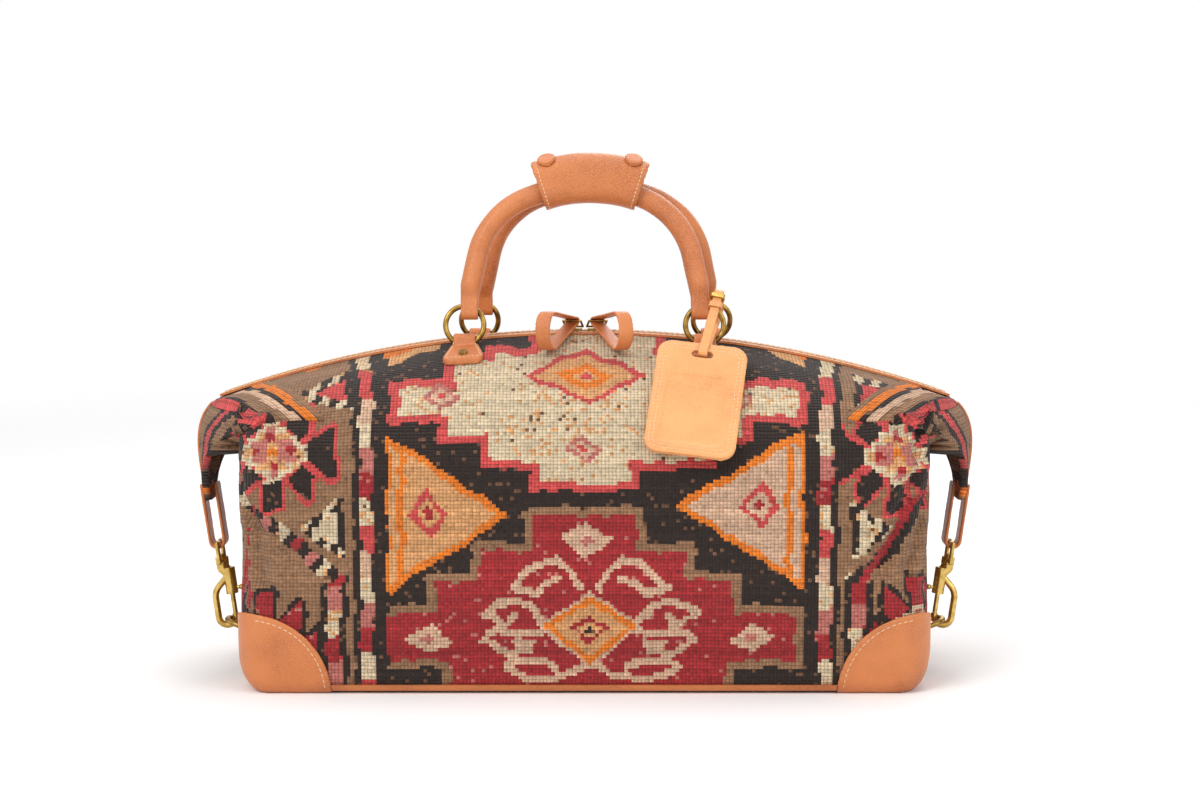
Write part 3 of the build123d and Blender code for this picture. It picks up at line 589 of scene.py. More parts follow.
def panel_grid():
    """Points, drawing places, knots and kept faces of the front panel, its corners and half end walls."""
    tree = tree_of("rug_front_panel")
    xs = np.linspace(-MAIN_RUN, MAIN_RUN, 2 * round(MAIN_RUN / KNOT_WIDTH) + 1)
    lines = [section_line(tree, x) for x in xs]
    rows = round(max(run_lengths(line)[-1] for line in lines) / KNOT_HEIGHT)
    main = np.stack([spaced(line, rows + 1) for line in lines], axis=1)
    edge = main[:, -1]
    wall = edge[:, 2] < WALL_TOP

    turns = np.linspace(0, math.pi / 2, round(END_RADIUS * math.pi / 2 / KNOT_WIDTH) + 1)[1:]
    stops = []
    for turn in turns:
        out_x, out_y = math.sin(turn), -math.cos(turn)
        stops.append((MAIN_RUN + END_RADIUS * out_x, -CORNER_Y + END_RADIUS * out_y, out_x, out_y))
    for y in np.linspace(-CORNER_Y, 0, round(CORNER_Y / KNOT_WIDTH) + 1)[1:]:
        stops.append((END_X, y, 1.0, 0.0))
    end = np.repeat(edge[:, None, :], len(stops), axis=1)
    for column, (x, y, out_x, out_y) in enumerate(stops):
        share = -y / (CORNER_Y + END_RADIUS)
        for row in range(rows + 1):
            if wall[row]:
                start = (x + NEAR * out_x, y + NEAR * out_y, edge[row, 2])
                place = hit(tree, start, (-out_x, -out_y, 0))
            else:
                place = hit(tree, (x, edge[row, 1] * share, FAR), (0, 0, -1))
            if place:
                end[row, column] = place

    points = np.concatenate([end[:, ::-1] * (-1, 1, 1), main, end], axis=1)
    reach = MAIN_RUN + KNOT_WIDTH * (1 + np.arange(len(stops)))
    unrolled = np.repeat(np.concatenate([-reach[::-1], xs, reach])[None, :], rows + 1, axis=0)
    flat = points.copy()
    flat[:, : len(stops), 1] = edge[:, None, 1]
    flat[:, -len(stops):, 1] = edge[:, None, 1]
    px, py = drawing_places(flat, unrolled)
    ends = len(stops) - len(turns)
    keep = np.ones((rows, points.shape[1] - 1), bool)
    keep[~wall[1:], :ends] = False
    keep[~wall[1:], -ends:] = False

    main_along = run_lengths(np.swapaxes(main, 0, 1)).T
    edge_along = np.repeat(main_along[:, -1:], len(stops), axis=1)
    along = np.concatenate([edge_along, main_along, edge_along], axis=1)
    depth = cloth_depth(px, py) * soft_step(along[-1:] - along, *ZIP_CLEAR)
    depth *= soft_step(points[..., 2], *BASE_CLEAR)
    points = points - outward(points) * depth[..., None]
    knots = np.stack([unrolled / KNOT_WIDTH, along / KNOT_HEIGHT], axis=-1)
    return points, px, py, knots, keep


def rug_panel(face, grid, turn):
    """Visible rug of one panel; the back one is the front one turned round."""
    points, px, py, knots, keep = grid
    colours = rug_colours(panel_shades(centred(px), centred(py)), face)
    name = f"rug_{face}"
    mesh = grid_mesh(name, points * (turn, turn, 1), colours, knots, keep)
    piece = new_object(name, mesh, rug)
    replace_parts(piece, f"rug_{face}_panel")


def flap_rows(tree):
    """Rows of the right flap: over the roof to the fold, then down the hanging point."""
    half_count = round(FLAP_HALF / KNOT_WIDTH)
    shares = np.linspace(1, -1, 2 * half_count + 1)
    rows, downs = [], []
    for inward in np.linspace(FLAP_ROOF, KNOT_HEIGHT / 2, round(FLAP_ROOF / KNOT_HEIGHT)):
        row = []
        for y in shares * FLAP_HALF:
            x = FLAP_EDGE - inward - FLAP_BOW + math.sqrt(FLAP_BOW**2 - y**2)
            place = hit(tree, (x, y, FAR), (0, 0, -1))
            if not place or place.z < FLAP_TIP:
                place = row[-1] if row else Vector((x, y, FLAP_TOP))
            row.append(place)
        rows.append([place + Vector((0, 0, FLAP_LIFT)) for place in row])
        downs.append(-inward)
    for height in np.linspace(FLAP_TOP, FLAP_TIP, round((FLAP_TOP - FLAP_TIP) / KNOT_HEIGHT)):
        half = 0.0
        for y in np.arange(0, FLAP_HALF, KNOT_WIDTH / 4):
            place = hit(tree, (FAR, y, height), (-1, 0, 0))
            if not place or place.x < END_X:
                break
            half = y
        row = [hit(tree, (FAR, y, height), (-1, 0, 0)) for y in shares * half]
        rows.append([place + Vector((FLAP_LIFT, 0, 0)) for place in row])
        downs.append(FLAP_TOP - height)
    return np.array(rows), np.array(downs)


def rug_flap(side, rows, turn):
    """Visible rug of one end flap."""
    points, downs = rows
    scale = DRAW_SCALE / VIEW_DISTANCE
    down = np.repeat(downs[:, None] * scale, points.shape[1], axis=1)
    shade = flap_shades(centred(points[..., 1] * scale), centred(down))
    knots = np.stack([points[..., 1] / KNOT_WIDTH, down / scale / KNOT_HEIGHT], axis=-1)
    name = f"rug_flap_{side}"
    mesh = grid_mesh(name, points * (turn, turn, 1), rug_colours(shade, side), knots)
    piece = new_object(name, mesh, rug)
    thick = piece.modifiers.new("thickness", "SOLIDIFY")
    thick.thickness = FLAP_THICKNESS
    thick.offset = -1


# Materials
class Nodes:
    """Short way to write a material's nodes."""

    def __init__(self, name):
        self.material = bpy.data.materials.new(name)
        self.material.use_nodes = True
        self.tree = self.material.node_tree
        self.shader = self.tree.nodes["Principled BSDF"]

    def add(self, kind, **settings):
        node = self.tree.nodes.new(kind)
        for key, value in settings.items():
            if key in node.inputs:
                node.inputs[key].default_value = value
            else:
                setattr(node, key, value)
        return node

    def link(self, source, target):
        self.tree.links.new(source, target)

    def math(self, operation, first, second=None):
        node = self.add("ShaderNodeMath", operation=operation)
        for socket, value in zip(node.inputs, (first, second)):
            if value is None:
                continue
            if isinstance(value, (int, float)):
                socket.default_value = value
            else:
                self.link(value, socket)
        return node.outputs[0]

    def blend(self, first, second, first_share, second_share):
        """Sum of two values, each times its share."""
        parts = [self.math("MULTIPLY", first, first_share), self.math("MULTIPLY", second, second_share)]
        return self.math("ADD", *parts)

    def noise(self, scale, detail, place, output="Fac"):
        node = self.add("ShaderNodeTexNoise", Scale=scale, Detail=detail)
        self.link(place, node.inputs["Vector"])
        return node.outputs[output]

    def places(self):
        return self.add("ShaderNodeTexCoord").outputs["Object"]

    def ramp(self, factor, *stops):
        node = self.add("ShaderNodeValToRGB")
        node.color_ramp.elements[0].position, node.color_ramp.elements[0].color = stops[0]
        node.color_ramp.elements[1].position, node.color_ramp.elements[1].color = stops[-1]
        for position, colour in stops[1:-1]:
            node.color_ramp.elements.new(position).color = colour
        self.link(factor, node.inputs["Fac"])
        return node.outputs["Color"]

    def bump(self, height, distance, strength):
        node = self.add("ShaderNodeBump", Distance=distance, Strength=strength)
        self.link(height, node.inputs["Height"])
        self.link(node.outputs["Normal"], self.shader.inputs["Normal"])

    def spread(self, factor, low, high):
        node = self.add("ShaderNodeMapRange")
        node.inputs["To Min"].default_value = low
        node.inputs["To Max"].default_value = high
        self.link(factor, node.inputs["Value"])
        return node.outputs["Result"]


def rgba(rgb, share=1.0):
    return (*(linear(rgb) * share), 1.0)


# Painted shade in the gaps between knots and painted light on their tops: ramp stops that darken and
# lighten the wool by the tuft's height
KNOT_SHADE_STOPS = ((0.05, (0.34, 0.32, 0.30, 1)), (0.62, (1.12, 1.1, 1.08, 1)))
KNOT_STRAY = (0.55, 0.55, 0.0)
STRAY_SCALE = 0.8
FIBRE_SCALE = 3.4
TUFT_POWER = 0.55
TUFT_BUMP = 0.9
FIBRE_RISE_SHARE = 0.9
# Shares of the tuft's painted shade and of the fibre noise's random tone
KNOT_SHADE_AND_FIBRE_SHARES = (0.5, 0.45)
WOOL_ROUGHNESS = 0.95
WOOL_SHINE = 0.2
WOOL_SHEEN = 0.12
FEW_DETAILS = 2.0
SOME_DETAILS = 4.0
MANY_DETAILS = 5.0


def rug_material():
    """Wool knots in rows, each a small rounded tuft, with coloured wool from the mesh, darkened by painted
    shade in the gaps between knots and lightened by painted light on their tops.
    """
    m = Nodes("rug_wool")
    wool = m.add("ShaderNodeAttribute", attribute_name="wool")
    knots = m.add("ShaderNodeUVMap", uv_map="knots").outputs["UV"]
    strayed = m.add("ShaderNodeVectorMath", operation="MULTIPLY_ADD")
    m.link(m.noise(STRAY_SCALE, FEW_DETAILS, knots, "Color"), strayed.inputs[0])
    strayed.inputs[1].default_value = KNOT_STRAY
    m.link(knots, strayed.inputs[2])
    apart = m.add("ShaderNodeSeparateXYZ")
    m.link(strayed.outputs[0], apart.inputs[0])
    tufts = []
    for axis in (0, 1):
        wave = m.math("SINE", m.math("MULTIPLY", apart.outputs[axis], math.pi))
        tufts.append(m.math("POWER", m.math("ABSOLUTE", wave), TUFT_POWER))
    tuft = m.math("MULTIPLY", tufts[0], tufts[1])
    fibre = m.noise(FIBRE_SCALE, MANY_DETAILS, knots)
    m.bump(m.math("ADD", tuft, m.math("MULTIPLY", fibre, FIBRE_RISE_SHARE)), KNOT_DEPTH, TUFT_BUMP)
    # Painted shade and light of the knots' relief, from the tuft's height, mixed with random tone from the
    # fibre noise
    shade = m.blend(tuft, fibre, *KNOT_SHADE_AND_FIBRE_SHARES)
    mix = m.add("ShaderNodeMix", data_type="RGBA", blend_type="MULTIPLY")
    mix.inputs["Factor"].default_value = 1.0
    m.link(wool.outputs["Color"], mix.inputs["A"])
    m.link(m.ramp(shade, *KNOT_SHADE_STOPS), mix.inputs["B"])
    m.link(mix.outputs["Result"], m.shader.inputs["Base Color"])
    m.shader.inputs["Roughness"].default_value = WOOL_ROUGHNESS
    m.shader.inputs["Specular IOR Level"].default_value = WOOL_SHINE
    m.shader.inputs["Sheen Weight"].default_value = WOOL_SHEEN
    return m.material


# Shares and stops of the leather's, brass's and cloth's colours and faces
PEBBLE_RISE = 2.6
FINE_SHARE = 0.25
LEATHER_BUMP = 0.6
# Painted shade in the grain's hollows and painted light on the pebbles' tops, mixed with random cloud
# tone: shares, ramp stops and the tops' lightening
PEBBLE_SHADE_AND_CLOUD_SHARES = (0.35, 0.75)
LEATHER_SHADE_STOPS = (0.18, 0.52, 0.95)
PEBBLE_HIGHLIGHT = 1.13
LEATHER_COAT = 0.08
LEATHER_ROUGHNESS = (0.34, 0.54)
TARNISH_STOPS = (0.32, 0.62)
TARNISH_ROUGHNESS = 0.14
POLISH_BUMP = 0.25
WEAVE_STRAY = 1.5
# Painted shade in the weave's grooves, mixed with a random fade: shares and ramp stops
WEAVE_SHADE_AND_FADE_SHARES = (0.5, 0.5)
WEAVE_SHADE_STOPS = (0.2, 0.8)
WEAVE_BUMP = 0.4
CLOTH_ROUGHNESS = 0.9

# Grain, tarnish and weave, in cells per metre, and metres of depth
GRAIN_SCALE = 760.0
GRAIN_DEPTH = 0.00036
FINE_SCALE = 1820.0
CLOUD_SCALE = 26.0
TARNISH_SCALE = 150.0
POLISH_SCALE = 1400.0
POLISH_DEPTH = 0.00005
WEAVE_SCALE = 500.0
FADE_SCALE = 60.0


def leather_material(name, rgb, dark, grain=1.0):
    """Pebbled leather with painted shade in the grain's hollows and painted light on the pebbles' tops, a
    soft change of colour and a satin finish.
    """
    m = Nodes(name)
    place = m.places()
    cells = m.add("ShaderNodeTexVoronoi", feature="DISTANCE_TO_EDGE", Scale=GRAIN_SCALE)
    m.link(place, cells.inputs["Vector"])
    pebble = m.math("MINIMUM", m.math("MULTIPLY", cells.outputs["Distance"], PEBBLE_RISE), 1.0)
    fine = m.noise(FINE_SCALE, FEW_DETAILS, place)
    m.bump(m.math("ADD", pebble, m.math("MULTIPLY", fine, FINE_SHARE)), GRAIN_DEPTH * grain, LEATHER_BUMP)
    cloud = m.noise(CLOUD_SCALE, SOME_DETAILS, place)
    # Painted shade in the hollows between pebbles and painted light on their tops, mixed with random cloud
    # tone
    shade_and_tone = m.blend(pebble, cloud, *PEBBLE_SHADE_AND_CLOUD_SHARES)
    colour = m.ramp(shade_and_tone, *zip(LEATHER_SHADE_STOPS, (rgba(dark), rgba(rgb), rgba(rgb, PEBBLE_HIGHLIGHT))))
    m.link(colour, m.shader.inputs["Base Color"])
    m.link(m.spread(cloud, *LEATHER_ROUGHNESS), m.shader.inputs["Roughness"])
    m.shader.inputs["Coat Weight"].default_value = LEATHER_COAT
    return m.material


def brass_material(name, rgb, dark, rough):
    """Brass with tarnish in patches and a fine uneven polish."""
    m = Nodes(name)
    place = m.places()
    patch = m.noise(TARNISH_SCALE, MANY_DETAILS, place)
    colour = m.ramp(patch, *zip(TARNISH_STOPS, (rgba(dark), rgba(rgb))))
    m.link(colour, m.shader.inputs["Base Color"])
    m.link(m.spread(patch, rough + TARNISH_ROUGHNESS, rough), m.shader.inputs["Roughness"])
    m.bump(m.noise(POLISH_SCALE, FEW_DETAILS, place), POLISH_DEPTH, POLISH_BUMP)
    m.shader.inputs["Metallic"].default_value = 1.0
    return m.material


def cloth_material(name, rgb, dark):
    """Plain woven cloth, with painted shade in the weave's grooves."""
    m = Nodes(name)
    place = m.places()
    weave = m.add("ShaderNodeTexWave", Scale=WEAVE_SCALE, Distortion=WEAVE_STRAY)
    m.link(place, weave.inputs["Vector"])
    cloud = m.noise(FADE_SCALE, SOME_DETAILS, place)
    # Painted shade in the weave's grooves, from the same bands as its bump, mixed with a random fade
    shade_and_tone = m.blend(weave.outputs["Fac"], cloud, *WEAVE_SHADE_AND_FADE_SHARES)
    colour = m.ramp(shade_and_tone, *zip(WEAVE_SHADE_STOPS, (rgba(dark), rgba(rgb))))
    m.link(colour, m.shader.inputs["Base Color"])
    m.bump(weave.outputs["Fac"], GRAIN_DEPTH, WEAVE_BUMP)
    m.shader.inputs["Roughness"].default_value = CLOTH_ROUGHNESS
    return m.material


rug = rug_material()
zip_brass = brass_material("zip_brass", (196, 160, 92), (130, 98, 50), 0.30)
thread = cloth_material("thread", (240, 216, 180), (208, 174, 130))
SLOT_MATERIALS = {
    "rug": rug,
    "zip_brass": zip_brass,
    "leather": leather_material("tan_leather", (205, 122, 66), (156, 82, 38)),
    "tag_leather": leather_material("tag_leather", (230, 162, 100), (196, 122, 66), grain=0.3),
    "base_leather": leather_material("base_leather", (74, 48, 34), (44, 29, 22)),
    "antique_brass": brass_material("antique_brass", (170, 136, 70), (112, 84, 36), 0.30),
    "brass": brass_material("brass", (214, 182, 106), (172, 136, 66), 0.20),
    "spring_steel": brass_material("spring_steel", (170, 170, 172), (120, 120, 122), 0.30),
    "tape": cloth_material("zip_tape", (120, 74, 44), (72, 43, 27)),
    "lining": cloth_material("lining", (190, 170, 140), (150, 132, 104)),
    "board": cloth_material("base_board", (60, 58, 56), (36, 35, 34)),
}
NODE_SLOTS = {entry["node"]: entry["material_slot"] for entry in frame["record"]["subparts"]}
NODE_BODIES = {n: body for body, names in frame["record"]["behaviour"]["bodies"].items() for n in names}
for node, slot in NODE_SLOTS.items():
    nodes[node].data.materials.clear()
    nodes[node].data.materials.append(SLOT_MATERIALS[slot])

panel = panel_grid()
rug_panel("front", panel, 1)
rug_panel("back", panel, -1)
flap = flap_rows(tree_of("rug_front_panel", "rug_back_panel"))
rug_flap("right", flap, 1)
rug_flap("left", flap, -1)

# Leather pieces: size of their mesh, rounds of smoothing, and an uneven face
SOFT_TAG = 0.0008
SOFT_FINE = 0.0010
SOFT_COARSE = 0.0014
SOFT_ROUNDS = 4
FEW_ROUNDS = 2
UNEVEN_DEPTH = 0.00025
UNEVEN_SCALE = 70.0


def soften(node, voxel, rounds=SOFT_ROUNDS):
    """Leather with rounded edges and an uneven face, in place of a node's plain solid."""
    name = f"{node}_leather"
    slot = NODE_SLOTS[node]
    shape = bpy.data.objects.new(name, nodes[node].data.copy())
    bpy.context.collection.objects.link(shape)
    voxels = shape.modifiers.new("voxels", "REMESH")
    voxels.mode = "VOXEL"
    voxels.voxel_size = voxel
    smooth = shape.modifiers.new("smooth", "SMOOTH")
    smooth.iterations = rounds
    mesh = bpy.data.meshes.new_from_object(shape.evaluated_get(bpy.context.evaluated_depsgraph_get()))
    bpy.data.objects.remove(shape)
    places, normals = np.empty((2, len(mesh.vertices) * 3), np.float32)
    mesh.vertices.foreach_get("co", places)
    mesh.vertex_normals.foreach_get("vector", normals)
    uneven = [noise.noise(Vector(place) * UNEVEN_SCALE) for place in places.reshape(-1, 3)]
    mesh.vertices.foreach_set("co", places + normals * np.repeat(uneven, 3) * UNEVEN_DEPTH)
    mesh.update()
    mesh.polygons.foreach_set("use_smooth", np.ones(len(mesh.polygons), bool))
    piece = new_object(name, mesh, SLOT_MATERIALS[slot], NODE_BODIES[node])
    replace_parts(piece, node)
    return piece


for face in FACES:
    soften(f"{face}_handle", SOFT_COARSE)
    for side in SIDES:
        soften(f"handle_chape_{face}_{side}", SOFT_FINE)
        soften(f"corner_patch_{face}_{side}", SOFT_FINE, FEW_ROUNDS)
soften("grip_wrap", SOFT_COARSE)
for side in SIDES:
    soften(f"end_tab_{side}", SOFT_FINE)
    soften(f"end_ring_tab_{side}", SOFT_FINE)
for leaf in ("back", "front", "strap", "keeper"):
    soften(f"tag_{leaf}", SOFT_TAG, FEW_ROUNDS)
soften("snap_caps", SOFT_TAG, FEW_ROUNDS)

# Pull loops, softened, and clip springs, each with a mesh of its own
for side, x_side in zip(SIDES, SIGNS):
    loop = soften(f"pull_loop_{side}", SOFT_TAG, FEW_ROUNDS)
    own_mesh(loop)
    spring = f"clip_spring_{side}"
    slot = NODE_SLOTS[spring]
    mesh = nodes[spring].data.copy()
    coil = new_object(f"clip_coil_{side}", mesh, SLOT_MATERIALS[slot], NODE_BODIES[spring])
    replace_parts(coil, spring)
    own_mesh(coil)

# Zip teeth
TOOTH_PITCH = 0.0026
TOOTH_LENGTH = 0.0016
TOOTH_ACROSS = (0.0004, 0.0026)
TOOTH_RADII = (0.8138, 0.8170)
ZIP_ANGLE = 19.1
BOX_FACES = ((0, 1, 3, 2), (4, 6, 7, 5), (0, 4, 5, 1), (2, 3, 7, 6), (0, 2, 6, 4), (1, 5, 7, 3))


def zip_place(angle, across, radius):
    """Point over the zip line."""
    return radius * math.sin(angle), across, ZIP_CENTRE + radius * math.cos(angle)


def zip_teeth(face, side):
    """Row of single teeth along the zip line; the back row is half a step on."""
    pitch = TOOTH_PITCH / ZIP_RADIUS
    half = TOOTH_LENGTH / 2 / ZIP_RADIUS
    shift = max(side, 0) / 2
    verts, faces = [], []
    for step in range(int(math.radians(2 * ZIP_ANGLE) / pitch)):
        middle = (step + shift) * pitch - math.radians(ZIP_ANGLE)
        start = len(verts)
        for radius in TOOTH_RADII:
            for angle in (middle - half, middle + half):
                verts += [zip_place(angle, side * across, radius) for across in TOOTH_ACROSS]
        faces += [[start + corner for corner in corners] for corners in BOX_FACES]
    name = f"zip_tooth_row_{face}"
    mesh = bpy.data.meshes.new(name)
    mesh.from_pydata(verts, [], faces)
    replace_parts(new_object(name, mesh, zip_brass), f"zip_teeth_{face}")


for face, side in zip(FACES, SIGNS):
    zip_teeth(face, side)

# Stitches
STITCH_LENGTH = 0.0031
STITCH_GAP = 0.0012
SMALL_STITCH = 0.0022
SMALL_GAP = 0.0009
STITCH_RADIUS = 0.00038
STITCH_SIDES = 6
STITCH_RINGS = ((-1.0, 0.35), (-0.6, 1.0), (0.6, 1.0), (1.0, 0.35))


def stitch(first, last, start):
    """Points and faces of one thread between two points."""
    way = last - first
    turn = way.to_track_quat("Z", "Y").to_matrix()
    verts, faces = [], []
    for place, share in STITCH_RINGS:
        middle = (first + last) / 2 + way * (place / 2)
        for corner in range(STITCH_SIDES):
            angle = 2 * math.pi * corner / STITCH_SIDES
            out = Vector((math.cos(angle), math.sin(angle), 0)) * (STITCH_RADIUS * share)
            verts.append(tuple(middle + turn @ out))
    for ring in range(len(STITCH_RINGS) - 1):
        low = start + ring * STITCH_SIDES
        high = low + STITCH_SIDES
        for corner in range(STITCH_SIDES):
            after = (corner + 1) % STITCH_SIDES
            faces.append((low + corner, low + after, high + after, high + corner))
    last_ring = start + (len(STITCH_RINGS) - 1) * STITCH_SIDES
    faces.append(tuple(start + corner for corner in reversed(range(STITCH_SIDES))))
    faces.append(tuple(last_ring + corner for corner in range(STITCH_SIDES)))
    return verts, faces


def stitches(name, lines, body="bag", length=STITCH_LENGTH, gap=STITCH_GAP):
    """Short threads along lines of points."""
    verts, faces = [], []
    for line in lines:
        line = np.asarray(line, dtype=float)
        along = run_lengths(line)
        for step in range(int(along[-1] / (length + gap))):
            at = step * (length + gap) + gap / 2
            first, last = (
                Vector([float(np.interp(end, along, line[:, axis])) for axis in range(3)])
                for end in (at, at + length)
            )
            more_verts, more_faces = stitch(first, last, len(verts))
            verts += more_verts
            faces += more_faces
    mesh = bpy.data.meshes.new(name)
    mesh.from_pydata(verts, [], faces)
    mesh.polygons.foreach_set("use_smooth", np.ones(len(mesh.polygons), bool))
    new_object(name, mesh, thread, body)


def draped(tree, starts, way):
    """Points where rays from the starts first meet a surface."""
    places = [hit(tree, start, way) for start in starts]
    return [place for place in places if place]


# Zip binding stitches
BINDING_SEAMS = (0.0164, 0.0079)
BINDING_TOP = 0.8173
BINDING_STEPS = 160
zip_angles = np.radians(np.linspace(-ZIP_ANGLE, ZIP_ANGLE, BINDING_STEPS))
binding_lines = [
    [zip_place(angle, side * seam, BINDING_TOP) for angle in zip_angles]
    for seam in BINDING_SEAMS
    for side in SIGNS
]
stitches("binding_stitches", binding_lines)

# Corner patch stitches
PATCH_CENTRE = (0.238, 0.1015)
PATCH_SEAM = 0.0535
PATCH_TURNS = (4, 87)
PATCH_STEPS = 40
patch_angles = np.radians(np.linspace(*PATCH_TURNS, PATCH_STEPS))
over = [(PATCH_SEAM * math.cos(angle), PATCH_SEAM * math.sin(angle)) for angle in patch_angles]
patch_lines = []
for end, x_side in zip(SIDES, SIGNS):
    for face, y_side in zip(FACES, SIGNS):
        tree = tree_of(f"corner_patch_{face}_{end}")
        front = [(x_side * (PATCH_CENTRE[0] - run), y_side * FAR, rise) for run, rise in over]
        patch_lines.append(draped(tree, front, (0, -y_side, 0)))
        flank = [(x_side * FAR, y_side * (PATCH_CENTRE[1] - run), rise) for run, rise in over]
        patch_lines.append(draped(tree, flank, (-x_side, 0, 0)))
stitches("patch_stitches", patch_lines)

# Luggage tag stitches
TAG_PLACE = (0.0795, -0.092, 0.208)
TAG_TILT = 38.3
TAG_ROLL = 8.0
TAG_FRONT = 0.0050
TAG_HALF = (0.0325, 0.0475)
TAG_CORNER = 0.011
TAG_SEAMS = (0.0030, 0.0058)
CORNER_STEPS = 8


def rounded_line(half_x, half_y, corner):
    """Closed rounded rectangle."""
    points = []
    for turn, (sx, sy) in enumerate(((1, 1), (-1, 1), (-1, -1), (1, -1))):
        for step in range(CORNER_STEPS + 1):
            angle = math.radians(90 * (turn + step / CORNER_STEPS))
            x = sx * (half_x - corner) + corner * math.cos(angle)
            points.append((x, sy * (half_y - corner) + corner * math.sin(angle)))
    return points + points[:1]


tag_frame = (
    Matrix.Translation(TAG_PLACE)
    @ Matrix.Rotation(math.radians(90 - TAG_TILT), 4, "X")
    @ Matrix.Translation((0, 0, TAG_FRONT))
    @ Matrix.Rotation(math.radians(-TAG_ROLL), 4, "Z")
)
tag_lines = []
for seam in TAG_SEAMS:
    outline = rounded_line(TAG_HALF[0] - seam, TAG_HALF[1] - seam, TAG_CORNER - seam)
    tag_lines.append([tag_frame @ Vector((x, y, 0)) for x, y in outline])
stitches("tag_stitches", tag_lines, "tag", SMALL_STITCH, SMALL_GAP)

# Chape stitches
CHAPE_X = 0.088
CHAPE_SHIFTS = (0.0, 0.008)
CHAPE_SEAM = ((-0.0078, 0.0385), (-0.0130, 0.0588), (0.0130, 0.0588), (0.0078, 0.0385))
CHAPE_STEPS = 12
chape_lines = []
for face, y_side, shift in zip(FACES, SIGNS, CHAPE_SHIFTS):
    for end, x_side in zip(SIDES, SIGNS):
        tree = tree_of(f"handle_chape_{face}_{end}")
        x = x_side * CHAPE_X + shift
        for (x0, y0), (x1, y1) in zip(CHAPE_SEAM, CHAPE_SEAM[1:]):
            starts = [
                (x + x0 + (x1 - x0) * t, y_side * (y0 + (y1 - y0) * t), FAR)
                for t in np.linspace(0, 1, CHAPE_STEPS)
            ]
            chape_lines.append(draped(tree, starts, (0, 0, -1)))
stitches("chape_stitches", chape_lines, length=SMALL_STITCH, gap=SMALL_GAP)

# Wrap stitches
WRAP_HUB = (0.004, 0.0, 0.24939)
WRAP_RADIUS = 0.1171
WRAP_TURN = 17.4
WRAP_REACH = 0.1
WRAP_STEPS = 72
wrap_tree = tree_of("grip_wrap")
wrap_lines = []
for x_side in SIGNS:
    turn = x_side * math.radians(WRAP_TURN)
    up = Vector((math.sin(turn), 0, math.cos(turn)))
    middle = Vector(WRAP_HUB) + up * WRAP_RADIUS
    line = []
    for angle in np.radians(np.linspace(0, 360, WRAP_STEPS + 1)):
        way = Vector((0, math.cos(angle), 0)) + up * math.sin(angle)
        place = hit(wrap_tree, middle + way * WRAP_REACH, -way)
        if place:
            line.append(place)
    wrap_lines.append(line)
stitches("wrap_stitches", wrap_lines, "wrap", length=SMALL_STITCH, gap=SMALL_GAP)

# Floor, world and lamps
FLOOR_SIZE = 40.0
FLOOR_NEAR = 0.7
FLOOR_FAR = 2.6
FLOOR_SHADE = 0.93
FLOOR_ROUGHNESS = 0.9
WORLD_LIGHT = 0.47


def seen_rays(add, link):
    """Share of rays that show the background: straight from the camera, or by reflection."""
    path = add("ShaderNodeLightPath")
    total = path.outputs["Is Camera Ray"]
    for name in ("Is Glossy Ray", "Is Transmission Ray"):
        node = add("ShaderNodeMath")
        node.operation = "MAXIMUM"
        link(total, node.inputs[0])
        link(path.outputs[name], node.inputs[1])
        total = node.outputs[0]
    return total


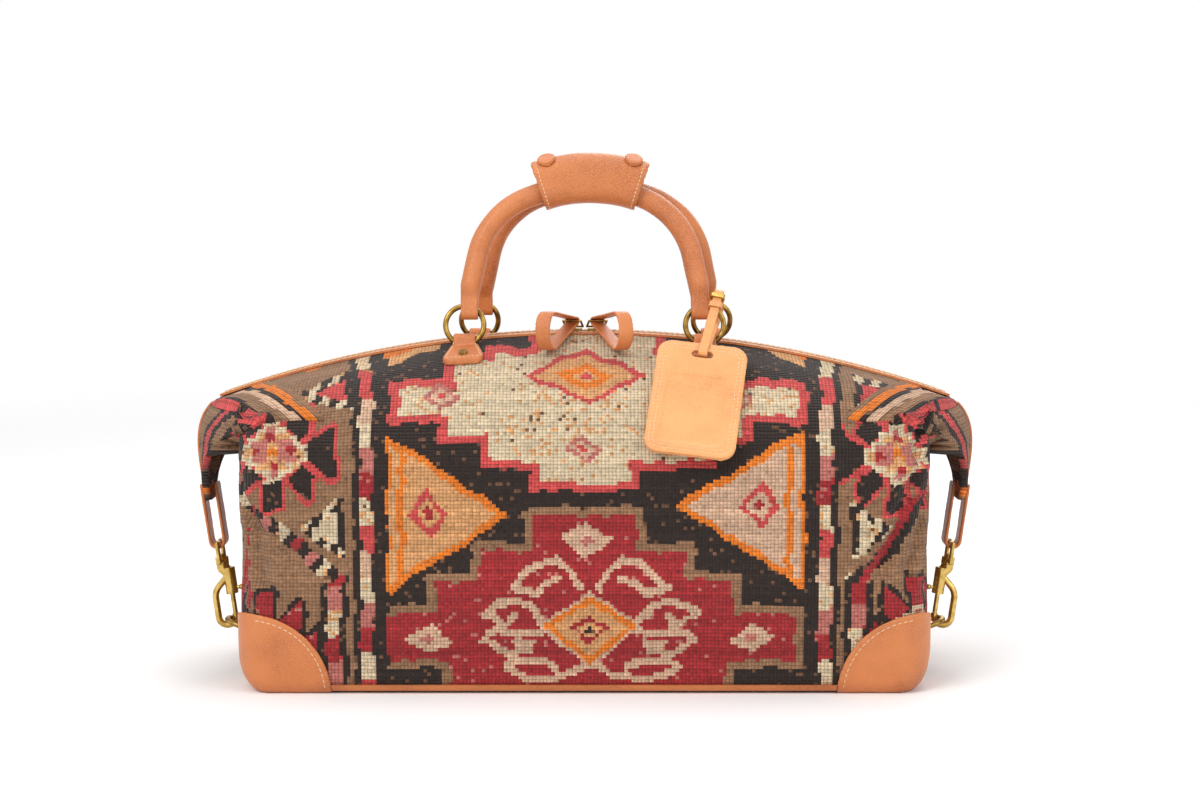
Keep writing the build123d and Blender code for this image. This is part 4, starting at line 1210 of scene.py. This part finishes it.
def add_floor():
    """Pale floor that fades into the white background."""
    half = FLOOR_SIZE / 2
    mesh = bpy.data.meshes.new("floor")
    corners = [(-half, -half, 0), (half, -half, 0), (half, half, 0), (-half, half, 0)]
    mesh.from_pydata(corners, [], [(0, 1, 2, 3)])
    m = Nodes("floor")
    m.shader.inputs["Base Color"].default_value = (FLOOR_SHADE, FLOOR_SHADE, FLOOR_SHADE, 1)
    m.shader.inputs["Roughness"].default_value = FLOOR_ROUGHNESS
    far = m.add("ShaderNodeVectorMath", operation="LENGTH")
    m.link(m.places(), far.inputs[0])
    fade = m.add("ShaderNodeMapRange", interpolation_type="SMOOTHSTEP")
    fade.inputs["From Min"].default_value = FLOOR_NEAR
    fade.inputs["From Max"].default_value = FLOOR_FAR
    m.link(far.outputs["Value"], fade.inputs["Value"])
    share = m.math("MULTIPLY", fade.outputs["Result"], seen_rays(m.tree.nodes.new, m.link))
    white = m.add("ShaderNodeEmission")
    mix = m.add("ShaderNodeMixShader")
    m.link(share, mix.inputs["Fac"])
    m.link(m.shader.outputs[0], mix.inputs[1])
    m.link(white.outputs[0], mix.inputs[2])
    m.link(mix.outputs[0], m.tree.nodes["Material Output"].inputs["Surface"])
    piece = bpy.data.objects.new("floor", mesh)
    bpy.context.collection.objects.link(piece)
    mesh.materials.append(m.material)


def add_world():
    """White background with softer light from all round."""
    world = bpy.data.worlds.new("studio")
    world.use_nodes = True
    bpy.context.scene.world = world
    tree = world.node_tree
    light = tree.nodes["Background"]
    light.inputs["Color"].default_value = (1, 1, 1, 1)
    light.inputs["Strength"].default_value = WORLD_LIGHT
    white = tree.nodes.new("ShaderNodeBackground")
    white.inputs["Color"].default_value = (1, 1, 1, 1)
    mix = tree.nodes.new("ShaderNodeMixShader")
    tree.links.new(seen_rays(tree.nodes.new, tree.links.new), mix.inputs["Fac"])
    tree.links.new(light.outputs[0], mix.inputs[1])
    tree.links.new(white.outputs[0], mix.inputs[2])
    tree.links.new(mix.outputs[0], tree.nodes["World Output"].inputs["Surface"])


# Lamps: name, place, size and power
LAMPS = (
    ("key", (-1.3, -1.7, 1.9), 1.4, 40.0),
    ("fill", (1.6, -1.5, 1.2), 1.6, 17.0),
    ("top", (0.1, 0.3, 2.2), 1.8, 20.0),
    ("rim", (0.6, 1.9, 1.4), 1.4, 16.0),
)
AIM = (0.0, 0.0, 0.18)


def add_lamps():
    """Soft lamps round the bag."""
    for name, place, size, power in LAMPS:
        lamp = bpy.data.lights.new(name, "AREA")
        lamp.size = size
        lamp.energy = power
        piece = bpy.data.objects.new(name, lamp)
        bpy.context.collection.objects.link(piece)
        piece.location = place
        piece.rotation_euler = (Vector(AIM) - Vector(place)).to_track_quat("-Z", "Y").to_euler()


def add_camera():
    """Camera in front of the bag, a little above it."""
    lens = bpy.data.cameras.new("camera")
    lens.lens = LENS
    lens.sensor_width = SENSOR
    piece = bpy.data.objects.new("camera", lens)
    bpy.context.collection.objects.link(piece)
    piece.location = CAMERA_PLACE
    piece.rotation_euler = (math.radians(90 - CAMERA_PITCH), 0, 0)
    bpy.context.scene.camera = piece


add_floor()
add_world()
add_lamps()
add_camera()
bpy.context.scene.view_settings.view_transform = "Standard"
